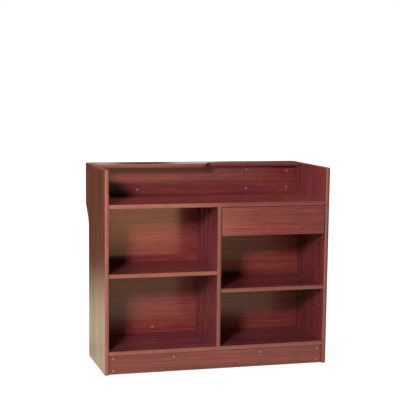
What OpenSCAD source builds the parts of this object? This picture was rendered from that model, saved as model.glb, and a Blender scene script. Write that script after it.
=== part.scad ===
// Ledge-top shop counter, open on the clerk's side.
// X runs across the counter, the clerk's side faces -Y and the floor is Z = 0.
// Depths are counted from the front plane, and dy() turns them into Y.

/* [Case] */
// Width over both side panels
case_w = 1219.2; // [1000:0.1:1600]
// Height from the floor to the ledge
case_h = 1066.8; // [1000:0.1:1150]
// Depth of the side panels at the foot
foot_d = 457.2; // [430:0.1:480]
// Depth of the side panels at the wings
wing_d = 546.1; // [525:0.1:640]
// Thickness of every laminate board
board_t = 20.6; // [18:0.1:25.4]
// Distance of the divider from the middle, positive to the right
divider_x = 0; // [-100:1:100]
// How far the backs stand in from the rear edges
back_inset = 25.4; // [15:0.1:40]

/* [Wings] */
// Drop of the wing's lower corner below the work top
wing_drop = 25.4; // [5:0.1:60]
// Slope of the cut under the wing, in degrees
wing_slope = 45; // [35:1:55]
// Radius of the hollow that ends the cut
hollow_r = 90; // [40:1:110]
// Outside radius of the panel corners
corner_r = 7; // [6:0.5:12]

/* [Ledge] */
// Depth of the ledge at its deep left part
ledge_d = 184.2; // [150:0.1:240]
// How much shallower the right part is
notch_d = 76.2; // [60:0.1:90]
// Length of the deep front edge, from the left side panel
ledge_deep_w = 595; // [300:1:850]
// Radius of the outer turn of the step
step_r = 38; // [25:1:50]
// Clear height between the work top and the ledge
upper_back_h = 158.8; // [120:0.1:220]

/* [Base] */
// Height of the kick plates
kick_h = 101.6; // [80:0.1:130]
// How far the kick plates stand behind the deck edges
kick_set_back = 15; // [8:0.5:40]
// Height of the floor glides
glide_h = 3; // [2:0.5:6]
// Radius of the floor glides
glide_r = 8.5; // [6:0.5:8.5]
// Distance of the glides from the front and rear edges
glide_in = 40; // [25:1:80]

/* [Edge moulding] */
// Height of the moulding's straight lip
edge_lip = 1; // [0.6:0.1:1.5]
// Height of the moulding's bulge over the lip
edge_bulge = 4; // [1.5:0.1:4]
// Length of the barb that holds the moulding
barb_l = 8; // [5:0.5:10]
// Thickness of the barb
barb_t = 1.8; // [1.2:0.1:2.4]

/* [Shelves] */
// Height of the lowest pin holes over the base deck
first_pin_h = 187.3; // [120:0.1:220]
// Height between pin holes
pin_pitch = 96; // [64:1:104]
// Which hole from below holds the left shelf
left_shelf_hole = 3; // [1:1:3]
// Which hole from below holds the right shelf
right_shelf_hole = 2; // [1:1:3]
// Radius of the pin holes
pin_r = 2.5; // [2:0.1:3.5]
// Depth of the pin holes
pin_hole_l = 10; // [8:0.5:12]
// Distance of the front pins from the front plane
pin_front_d = 64; // [45:1:90]
// Distance of the rear pins from the lower back
pin_rear_in = 37; // [25:1:60]
// Gap at each end of a shelf
shelf_gap = 1; // [0.5:0.1:3]
// Gap between a shelf and the lower back
shelf_back_gap = 6; // [2:0.5:15]
// How far a shelf's edge stands behind the front plane
shelf_set_back = 2; // [0:0.5:8]

/* [Drawer] */
// Height of the drawer front
drawer_front_h = 153.4; // [140:0.1:190]
// Gap above the drawer front
drawer_top_gap = 1.5; // [1.5:0.1:5]
// Gap at each end of the drawer front
drawer_end_gap = 1.5; // [1:0.1:4]
// How far the drawer front stands behind the front plane
drawer_set_back = 2; // [0:0.5:6]
// Length of the drawer box
box_l = 350; // [300:1:360]
// Height of the drawer box
box_h = 110; // [80:1:120]
// Height of the box above the front's lower edge
box_lift = 14; // [10:0.5:24]
// Thickness of the box boards
box_t = 12; // [10:0.5:15]
// Thickness of the drawer bottom
bottom_t = 6; // [3:0.5:8]
// Height of the drawer bottom above the box's lower edge
bottom_lift = 12; // [8:0.5:20]
// Depth of the grooves that hold the drawer bottom
groove_l = 6; // [4:0.5:7]

/* [Runners] */
// Width between a drawer side and the case, where a runner goes
runner_gap = 12.7; // [12.7:0.1:15]
// Thickness of the runners' steel
steel_t = 1.2; // [1:0.1:1.5]
// Radius of the runner rollers
roller_r = 10.5; // [8:0.5:11]
// Width of the runner rollers
roller_w = 6.6; // [5:0.1:7]
// Radius of the roller axles
axle_r = 3; // [2:0.1:4]
// Height of the roller axles above the box's lower edge
axle_h = 12; // [11:0.5:20]
// Distance of the roller axles from the runners' ends
axle_in = 16; // [13:0.5:24]

/* [Fixings] */
// Radius of the cam locks
cam_r = 6; // [5.5:0.1:6.5]
// Height of the cam locks
cam_h = 12; // [11:0.5:13]
// Distance of the cam locks from the joint, in decks and the lower back
cam_reach = 34; // [28:0.5:40]
// Distance of the cam locks from the joint, in kick plates
kick_cam_reach = 25; // [20:0.5:30]
// Radius of the cover caps
cap_r = 6.8; // [6.6:0.1:10]
// Distance of the outer cam locks from the side panels, in the upper back
upper_side_reach = 43.5; // [28:0.5:50]
// Distance of the outer cam locks from the top and bottom, in the upper back
upper_cam_in = 33; // [25:0.5:50]
// Distance of the inner cam locks from the work top, in the upper back
upper_low_reach = 29; // [24:0.5:40]
// Distance of the inner cam locks from the ledge, in the upper back
upper_high_reach = 24; // [22:0.5:40]
// Half the distance between the inner cam locks, in the upper back
upper_cam_x = 317; // [200:1:400]
// How far the middle of that pair is from the counter's, positive to the right
upper_cam_shift = -14; // [-40:1:40]
// Distance of the outer cam locks from the base deck, in the lower back
lower_cam_low = 225; // [80:1:250]
// Distance of the outer cam locks from the work top, in the lower back
lower_cam_high = 160; // [80:1:250]
// Distance of the inner cam locks on the left from the middle, in the lower back
lower_cam_left_x = 262; // [150:1:400]
// Distance of the inner cam locks on the right from the middle, in the lower back
lower_cam_right_x = 205; // [150:1:400]
// Distance of the outer cam locks from the top and bottom, in the kick plates
kick_cam_in = 19; // [15:0.5:35]
// Distance of the inner cam locks from the middle, in the kick plates
kick_cam_x = 239; // [150:1:400]
// Distance of the cam locks from the front and rear edges, in decks and divider
deck_cam_in = 70; // [50:1:110]
// Radius of the wooden dowels
dowel_r = 4; // [3:0.1:4]
// Distance from a cam lock to its dowel
dowel_step = 32; // [24:1:48]

/* [Clearances] */
// Running clearance of a roller on its axle
run_gap = 0.05; // [0.02:0.01:0.1]
// Clearance of a pin, bolt or dowel in its hole
hole_gap = 0.05; // [0.02:0.01:0.2]
// Gap between a loose or rolling piece and its seat
seat_gap = 0.3; // [0.2:0.05:0.5]
// Clearance of a barb in its slot
slot_gap = 0.15; // [0.05:0.05:0.3]

/* [Hidden] */

$fn = 64;
// Overshoot of a cut past the face it opens on
cut = 1;

// Colours of the finishes
laminate = [0.40, 0.16, 0.14];
moulding = [0.62, 0.36, 0.31];
cap_brown = [0.58, 0.36, 0.33];
raw_board = [0.72, 0.60, 0.45];
hardboard = [0.36, 0.24, 0.16];
zinc = [0.66, 0.67, 0.70];
runner_white = [0.90, 0.89, 0.86];
nylon = [0.93, 0.93, 0.90];
beech = [0.80, 0.66, 0.46];

// Levels, from the floor up
base_z0 = glide_h + kick_h;
base_z1 = base_z0 + board_t;
ledge_z0 = case_h - board_t;
work_z1 = ledge_z0 - upper_back_h;
work_z0 = work_z1 - board_t;

// Depths, from the front plane back
upper_back_d1 = wing_d - back_inset;
upper_back_d0 = upper_back_d1 - board_t;
lower_back_d1 = foot_d - back_inset;
lower_back_d0 = lower_back_d1 - board_t;
front_kick_d0 = kick_set_back;
rear_kick_d0 = lower_back_d1 - kick_set_back - board_t;

// Inner faces across the case
side_in = case_w / 2 - board_t;
divider_x0 = divider_x - board_t / 2;
divider_x1 = divider_x + board_t / 2;

// Edge moulding
edge_t = edge_lip + edge_bulge;
bulge_r = (pow(board_t / 2, 2) + pow(edge_bulge, 2)) / (2 * edge_bulge);
barb_stop = barb_l + slot_gap;

// The cut under a wing: its corner, the middle of its hollow and where the two meet the edges
wing_z = work_z0 - wing_drop;
hollow_d = foot_d + hollow_r;
hollow_z = wing_z + ((hollow_d - wing_d) * sin(wing_slope) - hollow_r) / cos(wing_slope);
wing_turn = 90 - wing_slope;
wing_corner = [wing_d - corner_r, wing_z + corner_r * tan(wing_turn / 2)];
slope_out = [sin(wing_slope), -cos(wing_slope)];
core_r = corner_r - edge_t;
slope_top = wing_corner + core_r * slope_out;
slope_foot = [hollow_d, hollow_z] - (hollow_r + edge_t) * slope_out;
slope_l = norm(slope_top - slope_foot);
// Gap where two lengths of moulding butt, and room for the moulding in the hollow
butt_gap = 0.1;
hollow_ease = 0.02;

// The ledge's step, as seen from above
ledge_d0 = wing_d - ledge_d;
ledge_d1 = ledge_d0 + notch_d;
ledge_cam_d = (ledge_d1 + upper_back_d0) / 2;
step_x = ledge_deep_w - side_in;
step_in_r = notch_d - step_r;
step_mid_d = ledge_d0 + step_r;
step_end_x = step_x + step_r + step_in_r;

// Cam locks: the bore, the bolt and its hole in the next board
cam_bore_l = cam_h + 1.5;
bolt_r = 2.5;
bolt_shank_r = 3.5;
bolt_head_r = 2.9;
bolt_neck_r = 1.8;
bolt_head_l = 2;
bolt_neck_l = 4;
bolt_in = board_t / 2 - barb_t;
bolt_from = 1;
cam_slot_l = 1.5;
cam_slot_w = 2;
cap_t = 1.2;
cap_plug_l = 1;
dowel_in = board_t / 2 - barb_t;
dowel_reach = 20;

// Shelf pins: the lug that carries the shelf stands on a round stem
lug_h = 4;
lug_w = 8;
lug_l = 9;
lug_t = 1.6;
collar_r = lug_h - seat_gap;
collar_l = 1.2;
pin_l = min(pin_hole_l, board_t / 2 - seat_gap);
pin_rear_d = lower_back_d0 - pin_rear_in;
pin_rows = 3;

// Drawer front and box
front_x0 = divider_x1 + drawer_end_gap;
front_x1 = side_in - drawer_end_gap;
front_z1 = work_z0 - drawer_top_gap;
front_z0 = front_z1 - drawer_front_h;
front_d1 = drawer_set_back + board_t;
box_x0 = divider_x1 + runner_gap;
box_x1 = side_in - runner_gap;
box_z0 = front_z0 + box_lift;
box_d1 = front_d1 + box_l;
groove_gap = 0.1;
screw_r = 1.75;
screw_head_r = 3.5;
screw_head_l = 1;
screw_l = 15;
runner_head_l = 0.7;
runner_screw_l = bottom_lift - 3;
// Distances of the screws from the ends, the top and the bottom of what they hold
front_screw_in = 90;
front_screw_low = 28;
front_screw_high = 25;
corner_screw_low = 12;
corner_screw_high = 18;
cabinet_screw_in = 45;
drawer_screw_in = 40;

// Runners
runner_l = box_l - 2;
runner_d0 = front_d1 + 1;
axle_z = box_z0 + axle_h;
flange_z = axle_z + roller_r + seat_gap;
track_z = axle_z - roller_r - seat_gap;
ceiling_z = flange_z + steel_t + 1;
flange_clear = 0.7;
track_w = runner_gap - steel_t - seat_gap;
lip_h = 2.5;
roller_s = steel_t + 1.8;
head_t = 0.6;
head_r = axle_r + 1.2;
front_axle_d = runner_d0 + axle_in;
rear_axle_d = runner_d0 + runner_l - axle_in;

// Nails of the glides
nail_r = 1.25;
nail_l = 14;

// Y of a depth counted from the front plane
function dy(d) = d - wing_d / 2;

// Height of pin hole number n
function pin_z(n) = base_z1 + first_pin_h + (n - 1) * pin_pitch;

// Underside of a shelf on pin hole number n
function shelf_z(n) = pin_z(n) + lug_h + seat_gap;

// A block from one corner to the other, its corners given as [x, depth, z]
module block(a, b) {
    translate([a[0], dy(a[1]), a[2]])
        cube([b[0] - a[0], b[1] - a[1], b[2] - a[2]]);
}

// Stands a side view, drawn in depth and height, upright with its mid-thickness at x
module upright(x) {
    translate([x, dy(0), 0])
        rotate([90, 0, 90])
            children();
}

// Edge moulding

// Section of the moulding: outwards is +X, across the board is Y
module edge_section() {
    intersection() {
        translate([0, -board_t / 2])
            square([edge_t, board_t]);
        translate([edge_t - bulge_r, 0])
            circle(r = bulge_r, $fn = 128);
    }
}

// Section of the barb, or of its slot with a gap round it
module barb_section(gap) {
    translate([-barb_l - gap, -barb_t / 2 - gap])
        square([barb_l + gap + edge_lip / 2, barb_t + 2 * gap]);
}

// Runs a section from p to q, with outwards on the left
module run(p, q, from = 0) {
    length = norm(q - p) - 2 * from;
    translate([p[0], p[1], 0])
        rotate([0, 0, atan2(q[1] - p[1], q[0] - p[0])])
            translate([from, 0, 0])
                rotate([90, 0, 90])
                    linear_extrude(length)
                        children();
}

module edge_run(p, q) {
    run(p, q)
        edge_section();
    run(p, q, barb_stop + slot_gap)
        barb_section(0);
}

module slot_run(p, q) {
    run(p, q, barb_stop)
        barb_section(slot_gap);
}

// Moulding round an outer corner of the core, whose middle is at c
module edge_turn(c, r, from, sweep) {
    translate([c[0], c[1], 0])
        rotate([0, 0, from])
            rotate_extrude(angle = sweep)
                translate([r, 0])
                    edge_section();
}

// Moulding round a hollow, whose middle c lies outside the board
module edge_hollow(c, r, from, sweep) {
    translate([c[0], c[1], 0])
        rotate([0, 0, from])
            rotate_extrude(angle = sweep)
                translate([r, 0])
                    mirror([1, 0])
                        edge_section();
}

// Side panels, drawn in depth and height

side_runs = [
    [[edge_t, glide_h], [edge_t, case_h - corner_r]],
    [[corner_r, case_h - edge_t], [wing_d - corner_r, case_h - edge_t]],
    [[wing_d - edge_t, case_h - corner_r], [wing_d - edge_t, wing_corner[1] + butt_gap]],
    [[foot_d - edge_t, hollow_z - butt_gap], [foot_d - edge_t, glide_h]]
];

// Puts its children at the middle of the hollow, with the foot of the slope on the +X axis
module at_hollow() {
    translate([hollow_d, hollow_z, 0])
        rotate([0, 0, 90 + wing_slope])
            children();
}

// Runs a section up the slope from its foot
module slope_run(from) {
    at_hollow()
        translate([hollow_r + edge_t, -from, 0])
            rotate([90, 0, 0])
                linear_extrude(slope_l - 2 * from)
                    mirror([1, 0])
                        children();
}

module side_core() {
    translate([edge_t, glide_h, -board_t / 2])
        cube([foot_d - 2 * edge_t, case_h - corner_r - glide_h, board_t]);
    translate([corner_r, work_z0, -board_t / 2])
        cube([wing_d - 2 * corner_r, case_h - edge_t - work_z0, board_t]);
    translate([corner_r, wing_corner[1], -board_t / 2])
        cube([wing_d - edge_t - corner_r, case_h - corner_r - wing_corner[1], board_t]);
    translate([0, 0, -board_t / 2])
        linear_extrude(board_t)
            polygon([
                [foot_d / 2, hollow_z],
                [hollow_d, hollow_z],
                slope_foot,
                slope_top,
                [wing_d - edge_t, wing_corner[1]],
                [foot_d / 2, wing_corner[1]]
            ]);
    for (d = [corner_r, wing_d - corner_r])
        translate([d, case_h - corner_r, -board_t / 2])
            cylinder(r = core_r, h = board_t);
}

module side_board() {
    difference() {
        side_core();
        translate([hollow_d, hollow_z, -board_t])
            cylinder(r = hollow_r + edge_t + hollow_ease, h = 2 * board_t, $fn = 192);
        for (r = side_runs)
            slot_run(r[0], r[1]);
        slope_run(barb_stop)
            barb_section(slot_gap);
    }
}

module side_edging() {
    for (r = side_runs)
        edge_run(r[0], r[1]);
    edge_turn([corner_r, case_h - corner_r], core_r, 90, 90);
    edge_turn([wing_d - corner_r, case_h - corner_r], core_r, 0, 90);
    slope_run(0)
        edge_section();
    slope_run(barb_stop + slot_gap)
        barb_section(0);
    at_hollow() {
        rotate_extrude(angle = wing_turn)
            translate([hollow_r + edge_t, 0])
                mirror([1, 0])
                    edge_section();
        translate([hollow_r + edge_t + core_r, -slope_l, 0])
            rotate([0, 0, 180])
                rotate_extrude(angle = wing_turn)
                    translate([core_r, 0])
                        edge_section();
    }
}

// Cam locks
// Each place is [[x, depth, z], turn, reach]: the middle of the bore's mouth, the bolt's turn in
// that face and its way to the joint.

function lower_cam_at(s) = s > 0 ? lower_cam_right_x : -lower_cam_left_x;

back_cams = [
    for (s = [-1, 1])
        for (z = [work_z1 + upper_cam_in, ledge_z0 - upper_cam_in])
            [[s * (side_in - upper_side_reach), upper_back_d0, z],
             s > 0 ? 0 : 180, upper_side_reach],
    for (s = [-1, 1])
        [[upper_cam_shift + s * upper_cam_x, upper_back_d0, ledge_z0 - upper_high_reach],
         90, upper_high_reach],
    for (s = [-1, 1])
        [[upper_cam_shift + s * upper_cam_x, upper_back_d0, work_z1 + upper_low_reach],
         270, upper_low_reach],
    for (s = [-1, 1])
        for (z = [base_z1 + lower_cam_low, work_z0 - lower_cam_high])
            [[s * (side_in - cam_reach), lower_back_d0, z], s > 0 ? 0 : 180, cam_reach],
    for (s = [-1, 1])
        for (up = [0, 1])
            [[lower_cam_at(s), lower_back_d0, up ? work_z0 - cam_reach : base_z1 + cam_reach],
             up ? 90 : 270, cam_reach]
];

kick_cams = [
    for (d = [front_kick_d0, rear_kick_d0])
        for (s = [-1, 1])
            for (z = [glide_h + kick_cam_in, base_z0 - kick_cam_in])
                [[s * (side_in - kick_cam_reach), d, z], s > 0 ? 0 : 180, kick_cam_reach],
    for (d = [front_kick_d0, rear_kick_d0])
        for (s = [-1, 1])
            [[s * kick_cam_x, d, base_z0 - kick_cam_reach], 90, kick_cam_reach]
];

deck_cams = [
    for (s = [-1, 1])
        for (d = [deck_cam_in, lower_back_d0 - deck_cam_in])
            for (z = [base_z0, work_z0])
                [[s * (side_in - cam_reach), d, z], s > 0 ? 0 : 180, cam_reach],
    for (s = [-1, 1])
        [[s * (side_in - cam_reach), ledge_cam_d, ledge_z0], s > 0 ? 0 : 180, cam_reach]
];

divider_cams = [
    for (d = [deck_cam_in, lower_back_d0 - deck_cam_in])
        for (up = [0, 1])
            [[divider_x1, d, up ? work_z0 - cam_reach : base_z1 + cam_reach],
             up ? 180 : 0, cam_reach]
];

// Puts its children at each place, on a face that looks along turn, and tells them the reach
module on_face(places, turn) {
    for (p = places) {
        $reach = p[2];
        translate([p[0][0], dy(p[0][1]), p[0][2]])
            rotate(turn)
                rotate([0, 0, p[1]])
                    children();
    }
}

module on_front(places) {
    on_face(places, [90, 0, 0])
        children();
}

module on_underside(places) {
    on_face(places, [180, 0, 0])
        children();
}

module on_right(places) {
    on_face(places, [0, 90, 0])
        children();
}

// Bore of a cam lock, with the bolt's channel to the joint and its hole beyond
module cam_bores() {
    translate([0, 0, -cam_bore_l])
        cylinder(r = cam_r, h = cam_bore_l + cut);
    translate([0, 0, -board_t / 2])
        rotate([0, 90, 0])
            cylinder(r = bolt_shank_r + hole_gap, h = $reach);
    translate([$reach - cut, 0, -board_t / 2])
        rotate([0, 90, 0])
            cylinder(r = bolt_r + hole_gap, h = bolt_in + cut);
}

module cam_lock() {
    difference() {
        translate([0, 0, -cam_bore_l])
            cylinder(r = cam_r - hole_gap, h = cam_h);
        translate([0, 0, -board_t / 2])
            rotate([0, 90, 0])
                cylinder(r = bolt_head_r + hole_gap, h = cam_r + cut);
        for (turn = [0, 90])
            rotate([0, 0, turn])
                translate([-cam_r / 2, -cam_slot_w / 2, -cam_bore_l + cam_h - cam_slot_l])
                    cube([cam_r, cam_slot_w, cam_slot_l + cut]);
    }
}

module cam_bolt() {
    translate([0, 0, -board_t / 2])
        rotate([0, 90, 0])
            rotate_extrude()
                polygon([
                    [0, bolt_from],
                    [bolt_head_r, bolt_from],
                    [bolt_head_r, bolt_from + bolt_head_l],
                    [bolt_neck_r, bolt_from + bolt_head_l],
                    [bolt_neck_r, cam_r + bolt_neck_l],
                    [bolt_shank_r, cam_r + bolt_neck_l],
                    [bolt_shank_r, $reach - hole_gap],
                    [bolt_r, $reach - hole_gap],
                    [bolt_r, $reach + bolt_in - hole_gap],
                    [0, $reach + bolt_in - hole_gap]
                ]);
}

module cam_cap() {
    cylinder(r = cap_r, h = cap_t);
    translate([0, 0, -cap_plug_l])
        cylinder(r = cam_r - hole_gap, h = cap_plug_l + cap_t / 2);
}

// Wooden dowels: each place is a point on the joint with the axis along X or Z
side_dowels = [
    for (s = [-1, 1])
        for (d = [deck_cam_in + dowel_step, lower_back_d0 - deck_cam_in - dowel_step])
            for (z = [base_z0 + board_t / 2, work_z0 + board_t / 2])
                [s * side_in, d, z],
    for (s = [-1, 1])
        [s * side_in, ledge_cam_d + dowel_step, ledge_z0 + board_t / 2]
];

divider_dowels = [
    for (d = [deck_cam_in + dowel_step, lower_back_d0 - deck_cam_in - dowel_step])
        for (z = [base_z1, work_z0])
            [divider_x, d, z]
];

back_dowels = [
    for (s = [-1, 1])
        [upper_cam_shift + s * (upper_cam_x + dowel_step), upper_back_d0 + board_t / 2, work_z1],
    for (s = [-1, 1])
        [lower_cam_at(s) + s * dowel_step, lower_back_d0 + board_t / 2, base_z1]
];

// A dowel across a joint: reach one way, the shorter end the other way, along +Z
module dowel(gap) {
    translate([0, 0, -dowel_in - gap])
        cylinder(r = dowel_r + gap, h = dowel_in + dowel_reach + 2 * gap);
}

module at_side_dowels(gap) {
    for (p = side_dowels)
        translate([p[0], dy(p[1]), p[2]])
            rotate([0, p[0] > 0 ? -90 : 90, 0])
                dowel(gap);
}

module at_divider_dowels(gap) {
    for (p = divider_dowels)
        translate([p[0], dy(p[1]), p[2]])
            rotate([p[2] > base_z1 ? 180 : 0, 0, 0])
                dowel(gap);
}

module at_back_dowels(gap) {
    for (p = back_dowels)
        translate([p[0], dy(p[1]), p[2]])
            dowel(gap);
}

// Every bore for the cam locks, bolts and dowels of one group
module back_bores() {
    on_front(back_cams)
        cam_bores();
    at_back_dowels(hole_gap);
}

module kick_bores() {
    on_front(kick_cams)
        cam_bores();
}

module deck_bores() {
    on_underside(deck_cams)
        cam_bores();
    at_side_dowels(hole_gap);
}

module divider_bores() {
    on_right(divider_cams)
        cam_bores();
    at_divider_dowels(hole_gap);
}

// Shelf pins and their holes

pin_depths = [pin_front_d, pin_rear_d];

// Holes in the face at x, drilled towards dir
module pin_holes(x, dir) {
    for (d = pin_depths)
        for (n = [1 : pin_rows])
            translate([x - dir * cut, dy(d), pin_z(n)])
                rotate([0, dir * 90, 0])
                    cylinder(r = pin_r, h = pin_l + cut);
}

// A pin whose stem goes into the face at x towards dir
module shelf_pin(dir) {
    rotate([0, dir * 90, 0])
        cylinder(r = pin_r - hole_gap, h = pin_l - slot_gap);
    rotate([0, -dir * 90, 0])
        cylinder(r = collar_r, h = collar_l);
    rotate([0, -dir * 90, 0])
        cylinder(r = pin_r, h = lug_l);
    mirror([dir > 0 ? 1 : 0, 0, 0])
        translate([0, -lug_w / 2, lug_h - lug_t])
            cube([lug_l, lug_w, lug_t]);
    mirror([dir > 0 ? 1 : 0, 0, 0])
        translate([0, -lug_t / 2, 0])
            cube([lug_l, lug_t, lug_h - lug_t / 2]);
}

module shelf_pins(x0, x1, n) {
    color(zinc)
        for (d = pin_depths) {
            translate([x0, dy(d), pin_z(n)])
                shelf_pin(-1);
            translate([x1, dy(d), pin_z(n)])
                shelf_pin(1);
        }
}

// Case

module glide_places() {
    for (s = [-1, 1])
        for (d = [glide_in, foot_d - glide_in])
            translate([s * (side_in + board_t / 2), dy(d), 0])
                children();
}

module floor_glides() {
    color(nylon)
        glide_places() {
            cylinder(r = glide_r, h = glide_h);
            cylinder(r = nail_r - hole_gap, h = glide_h + nail_l - hole_gap);
        }
}

module side_panel(s) {
    difference() {
        upright(s * (side_in + board_t / 2))
            side_board();
        back_bores();
        kick_bores();
        deck_bores();
        glide_places()
            cylinder(r = nail_r, h = glide_h + nail_l);
        if (s < 0)
            pin_holes(-side_in, -1);
        if (s > 0) {
            pin_holes(side_in, 1);
            runner_side(1)
                cabinet_screw_holes();
        }
    }
}

module left_side_panel() {
    color(laminate)
        side_panel(-1);
}

module right_side_panel() {
    color(laminate)
        side_panel(1);
}

module left_side_edging() {
    color(moulding)
        upright(-side_in - board_t / 2)
            side_edging();
}

module right_side_edging() {
    color(moulding)
        upright(side_in + board_t / 2)
            side_edging();
}

module divider() {
    color(laminate)
        difference() {
            block([divider_x0, edge_t, base_z1], [divider_x1, lower_back_d0, work_z0]);
            upright(divider_x)
                slot_run([edge_t, base_z1], [edge_t, work_z0]);
            divider_bores();
            pin_holes(divider_x0, 1);
            pin_holes(divider_x1, -1);
            runner_side(-1)
                cabinet_screw_holes();
        }
}

module divider_edging() {
    color(moulding)
        upright(divider_x)
            edge_run([edge_t, base_z1], [edge_t, work_z0]);
}

// A deck from one side panel to the other, its front edge on the front plane
module deck(z0, rear_d) {
    difference() {
        block([-side_in, edge_t, z0], [side_in, rear_d - edge_t, z0 + board_t]);
        translate([0, dy(0), z0 + board_t / 2]) {
            slot_run([side_in, edge_t], [-side_in, edge_t]);
            slot_run([-side_in, rear_d - edge_t], [side_in, rear_d - edge_t]);
        }
    }
}

module deck_edging(z0, rear_d) {
    translate([0, dy(0), z0 + board_t / 2]) {
        edge_run([side_in, edge_t], [-side_in, edge_t]);
        edge_run([-side_in, rear_d - edge_t], [side_in, rear_d - edge_t]);
    }
}

module work_top() {
    color(laminate)
        difference() {
            deck(work_z0, upper_back_d1);
            back_bores();
            deck_bores();
            divider_bores();
        }
}

module work_top_edging() {
    color(moulding)
        deck_edging(work_z0, upper_back_d1);
}

module base_deck() {
    color(laminate)
        difference() {
            deck(base_z0, lower_back_d1);
            back_bores();
            kick_bores();
            deck_bores();
            divider_bores();
        }
}

module base_deck_edging() {
    color(moulding)
        deck_edging(base_z0, lower_back_d1);
}

module kick_plate(d) {
    difference() {
        block([-side_in, d, glide_h], [side_in, d + board_t, base_z0]);
        kick_bores();
    }
}

module front_kick_plate() {
    color(laminate)
        kick_plate(front_kick_d0);
}

module rear_kick_plate() {
    color(laminate)
        kick_plate(rear_kick_d0);
}

module lower_back() {
    color(laminate)
        difference() {
            block([-side_in, lower_back_d0, base_z1], [side_in, lower_back_d1, work_z0]);
            back_bores();
        }
}

module upper_back() {
    color(laminate)
        difference() {
            block([-side_in, upper_back_d0, work_z1], [side_in, upper_back_d1, ledge_z0]);
            back_bores();
        }
}

// Outline of the ledge's board inside its moulding, seen from above
module ledge_core() {
    difference() {
        union() {
            translate([-side_in, ledge_d1 + edge_t])
                square([2 * side_in, ledge_d - notch_d - 2 * edge_t]);
            translate([-side_in, step_mid_d])
                square([side_in + step_end_x, notch_d - step_r + edge_t]);
            translate([-side_in, ledge_d0 + edge_t])
                square([side_in + step_x, step_r]);
            translate([step_x, step_mid_d])
                circle(r = step_r - edge_t, $fn = 128);
        }
        translate([step_end_x, step_mid_d])
            circle(r = step_in_r + edge_t, $fn = 128);
    }
}

ledge_runs = [
    [[side_in, ledge_d1 + edge_t], [step_end_x, ledge_d1 + edge_t]],
    [[step_x, ledge_d0 + edge_t], [-side_in, ledge_d0 + edge_t]],
    [[-side_in, wing_d - edge_t], [side_in, wing_d - edge_t]]
];

module ledge() {
    color(laminate)
        difference() {
            translate([0, dy(0), ledge_z0])
                linear_extrude(board_t)
                    ledge_core();
            translate([0, dy(0), ledge_z0 + board_t / 2])
                for (r = ledge_runs)
                    slot_run(r[0], r[1]);
            back_bores();
            deck_bores();
        }
}

module ledge_edging() {
    color(moulding)
        translate([0, dy(0), ledge_z0 + board_t / 2]) {
            for (r = ledge_runs)
                edge_run(r[0], r[1]);
            edge_turn([step_x, step_mid_d], step_r - edge_t, 270, 90);
            edge_hollow([step_end_x, step_mid_d], step_in_r + edge_t, 90, 90);
        }
}

// Fixings of the case

module back_cam_locks() {
    color(zinc)
        on_front(back_cams)
            cam_lock();
}

module kick_cam_locks() {
    color(zinc)
        on_front(kick_cams)
            cam_lock();
}

module deck_cam_locks() {
    color(zinc) {
        on_underside(deck_cams)
            cam_lock();
        on_right(divider_cams)
            cam_lock();
    }
}

module back_cam_bolts() {
    color(zinc)
        on_front(back_cams)
            cam_bolt();
}

module kick_cam_bolts() {
    color(zinc)
        on_front(kick_cams)
            cam_bolt();
}

module deck_cam_bolts() {
    color(zinc) {
        on_underside(deck_cams)
            cam_bolt();
        on_right(divider_cams)
            cam_bolt();
    }
}

module back_cam_caps() {
    color(cap_brown)
        on_front(back_cams)
            cam_cap();
}

module kick_cam_caps() {
    color(cap_brown)
        on_front(kick_cams)
            cam_cap();
}

module deck_cam_caps() {
    color(cap_brown) {
        on_underside(deck_cams)
            cam_cap();
        on_right(divider_cams)
            cam_cap();
    }
}

module wood_dowels() {
    color(beech) {
        at_side_dowels(0);
        at_divider_dowels(0);
        at_back_dowels(0);
    }
}

// Shelves

module left_shelf_pins() {
    shelf_pins(-side_in, divider_x0, left_shelf_hole);
}

module right_shelf_pins() {
    shelf_pins(divider_x1, side_in, right_shelf_hole);
}

module shelf(x0, x1, z) {
    difference() {
        block([x0 + shelf_gap, shelf_set_back + edge_t, z],
              [x1 - shelf_gap, lower_back_d0 - shelf_back_gap, z + board_t]);
        translate([0, dy(shelf_set_back), z + board_t / 2])
            slot_run([x1 - shelf_gap, edge_t], [x0 + shelf_gap, edge_t]);
    }
}

module shelf_edging(x0, x1, z) {
    translate([0, dy(shelf_set_back), z + board_t / 2])
        edge_run([x1 - shelf_gap, edge_t], [x0 + shelf_gap, edge_t]);
}

module left_shelf() {
    color(laminate)
        shelf(-side_in, divider_x0, shelf_z(left_shelf_hole));
}

module left_shelf_edging() {
    color(moulding)
        shelf_edging(-side_in, divider_x0, shelf_z(left_shelf_hole));
}

module right_shelf() {
    color(laminate)
        shelf(divider_x1, side_in, shelf_z(right_shelf_hole));
}

module right_shelf_edging() {
    color(moulding)
        shelf_edging(divider_x1, side_in, shelf_z(right_shelf_hole));
}

// Drawer

// Stands a front view, drawn in X and height, upright with its mid-thickness at depth d
module facing(d) {
    translate([0, dy(d), 0])
        rotate([90, 0, 0])
            children();
}

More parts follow.
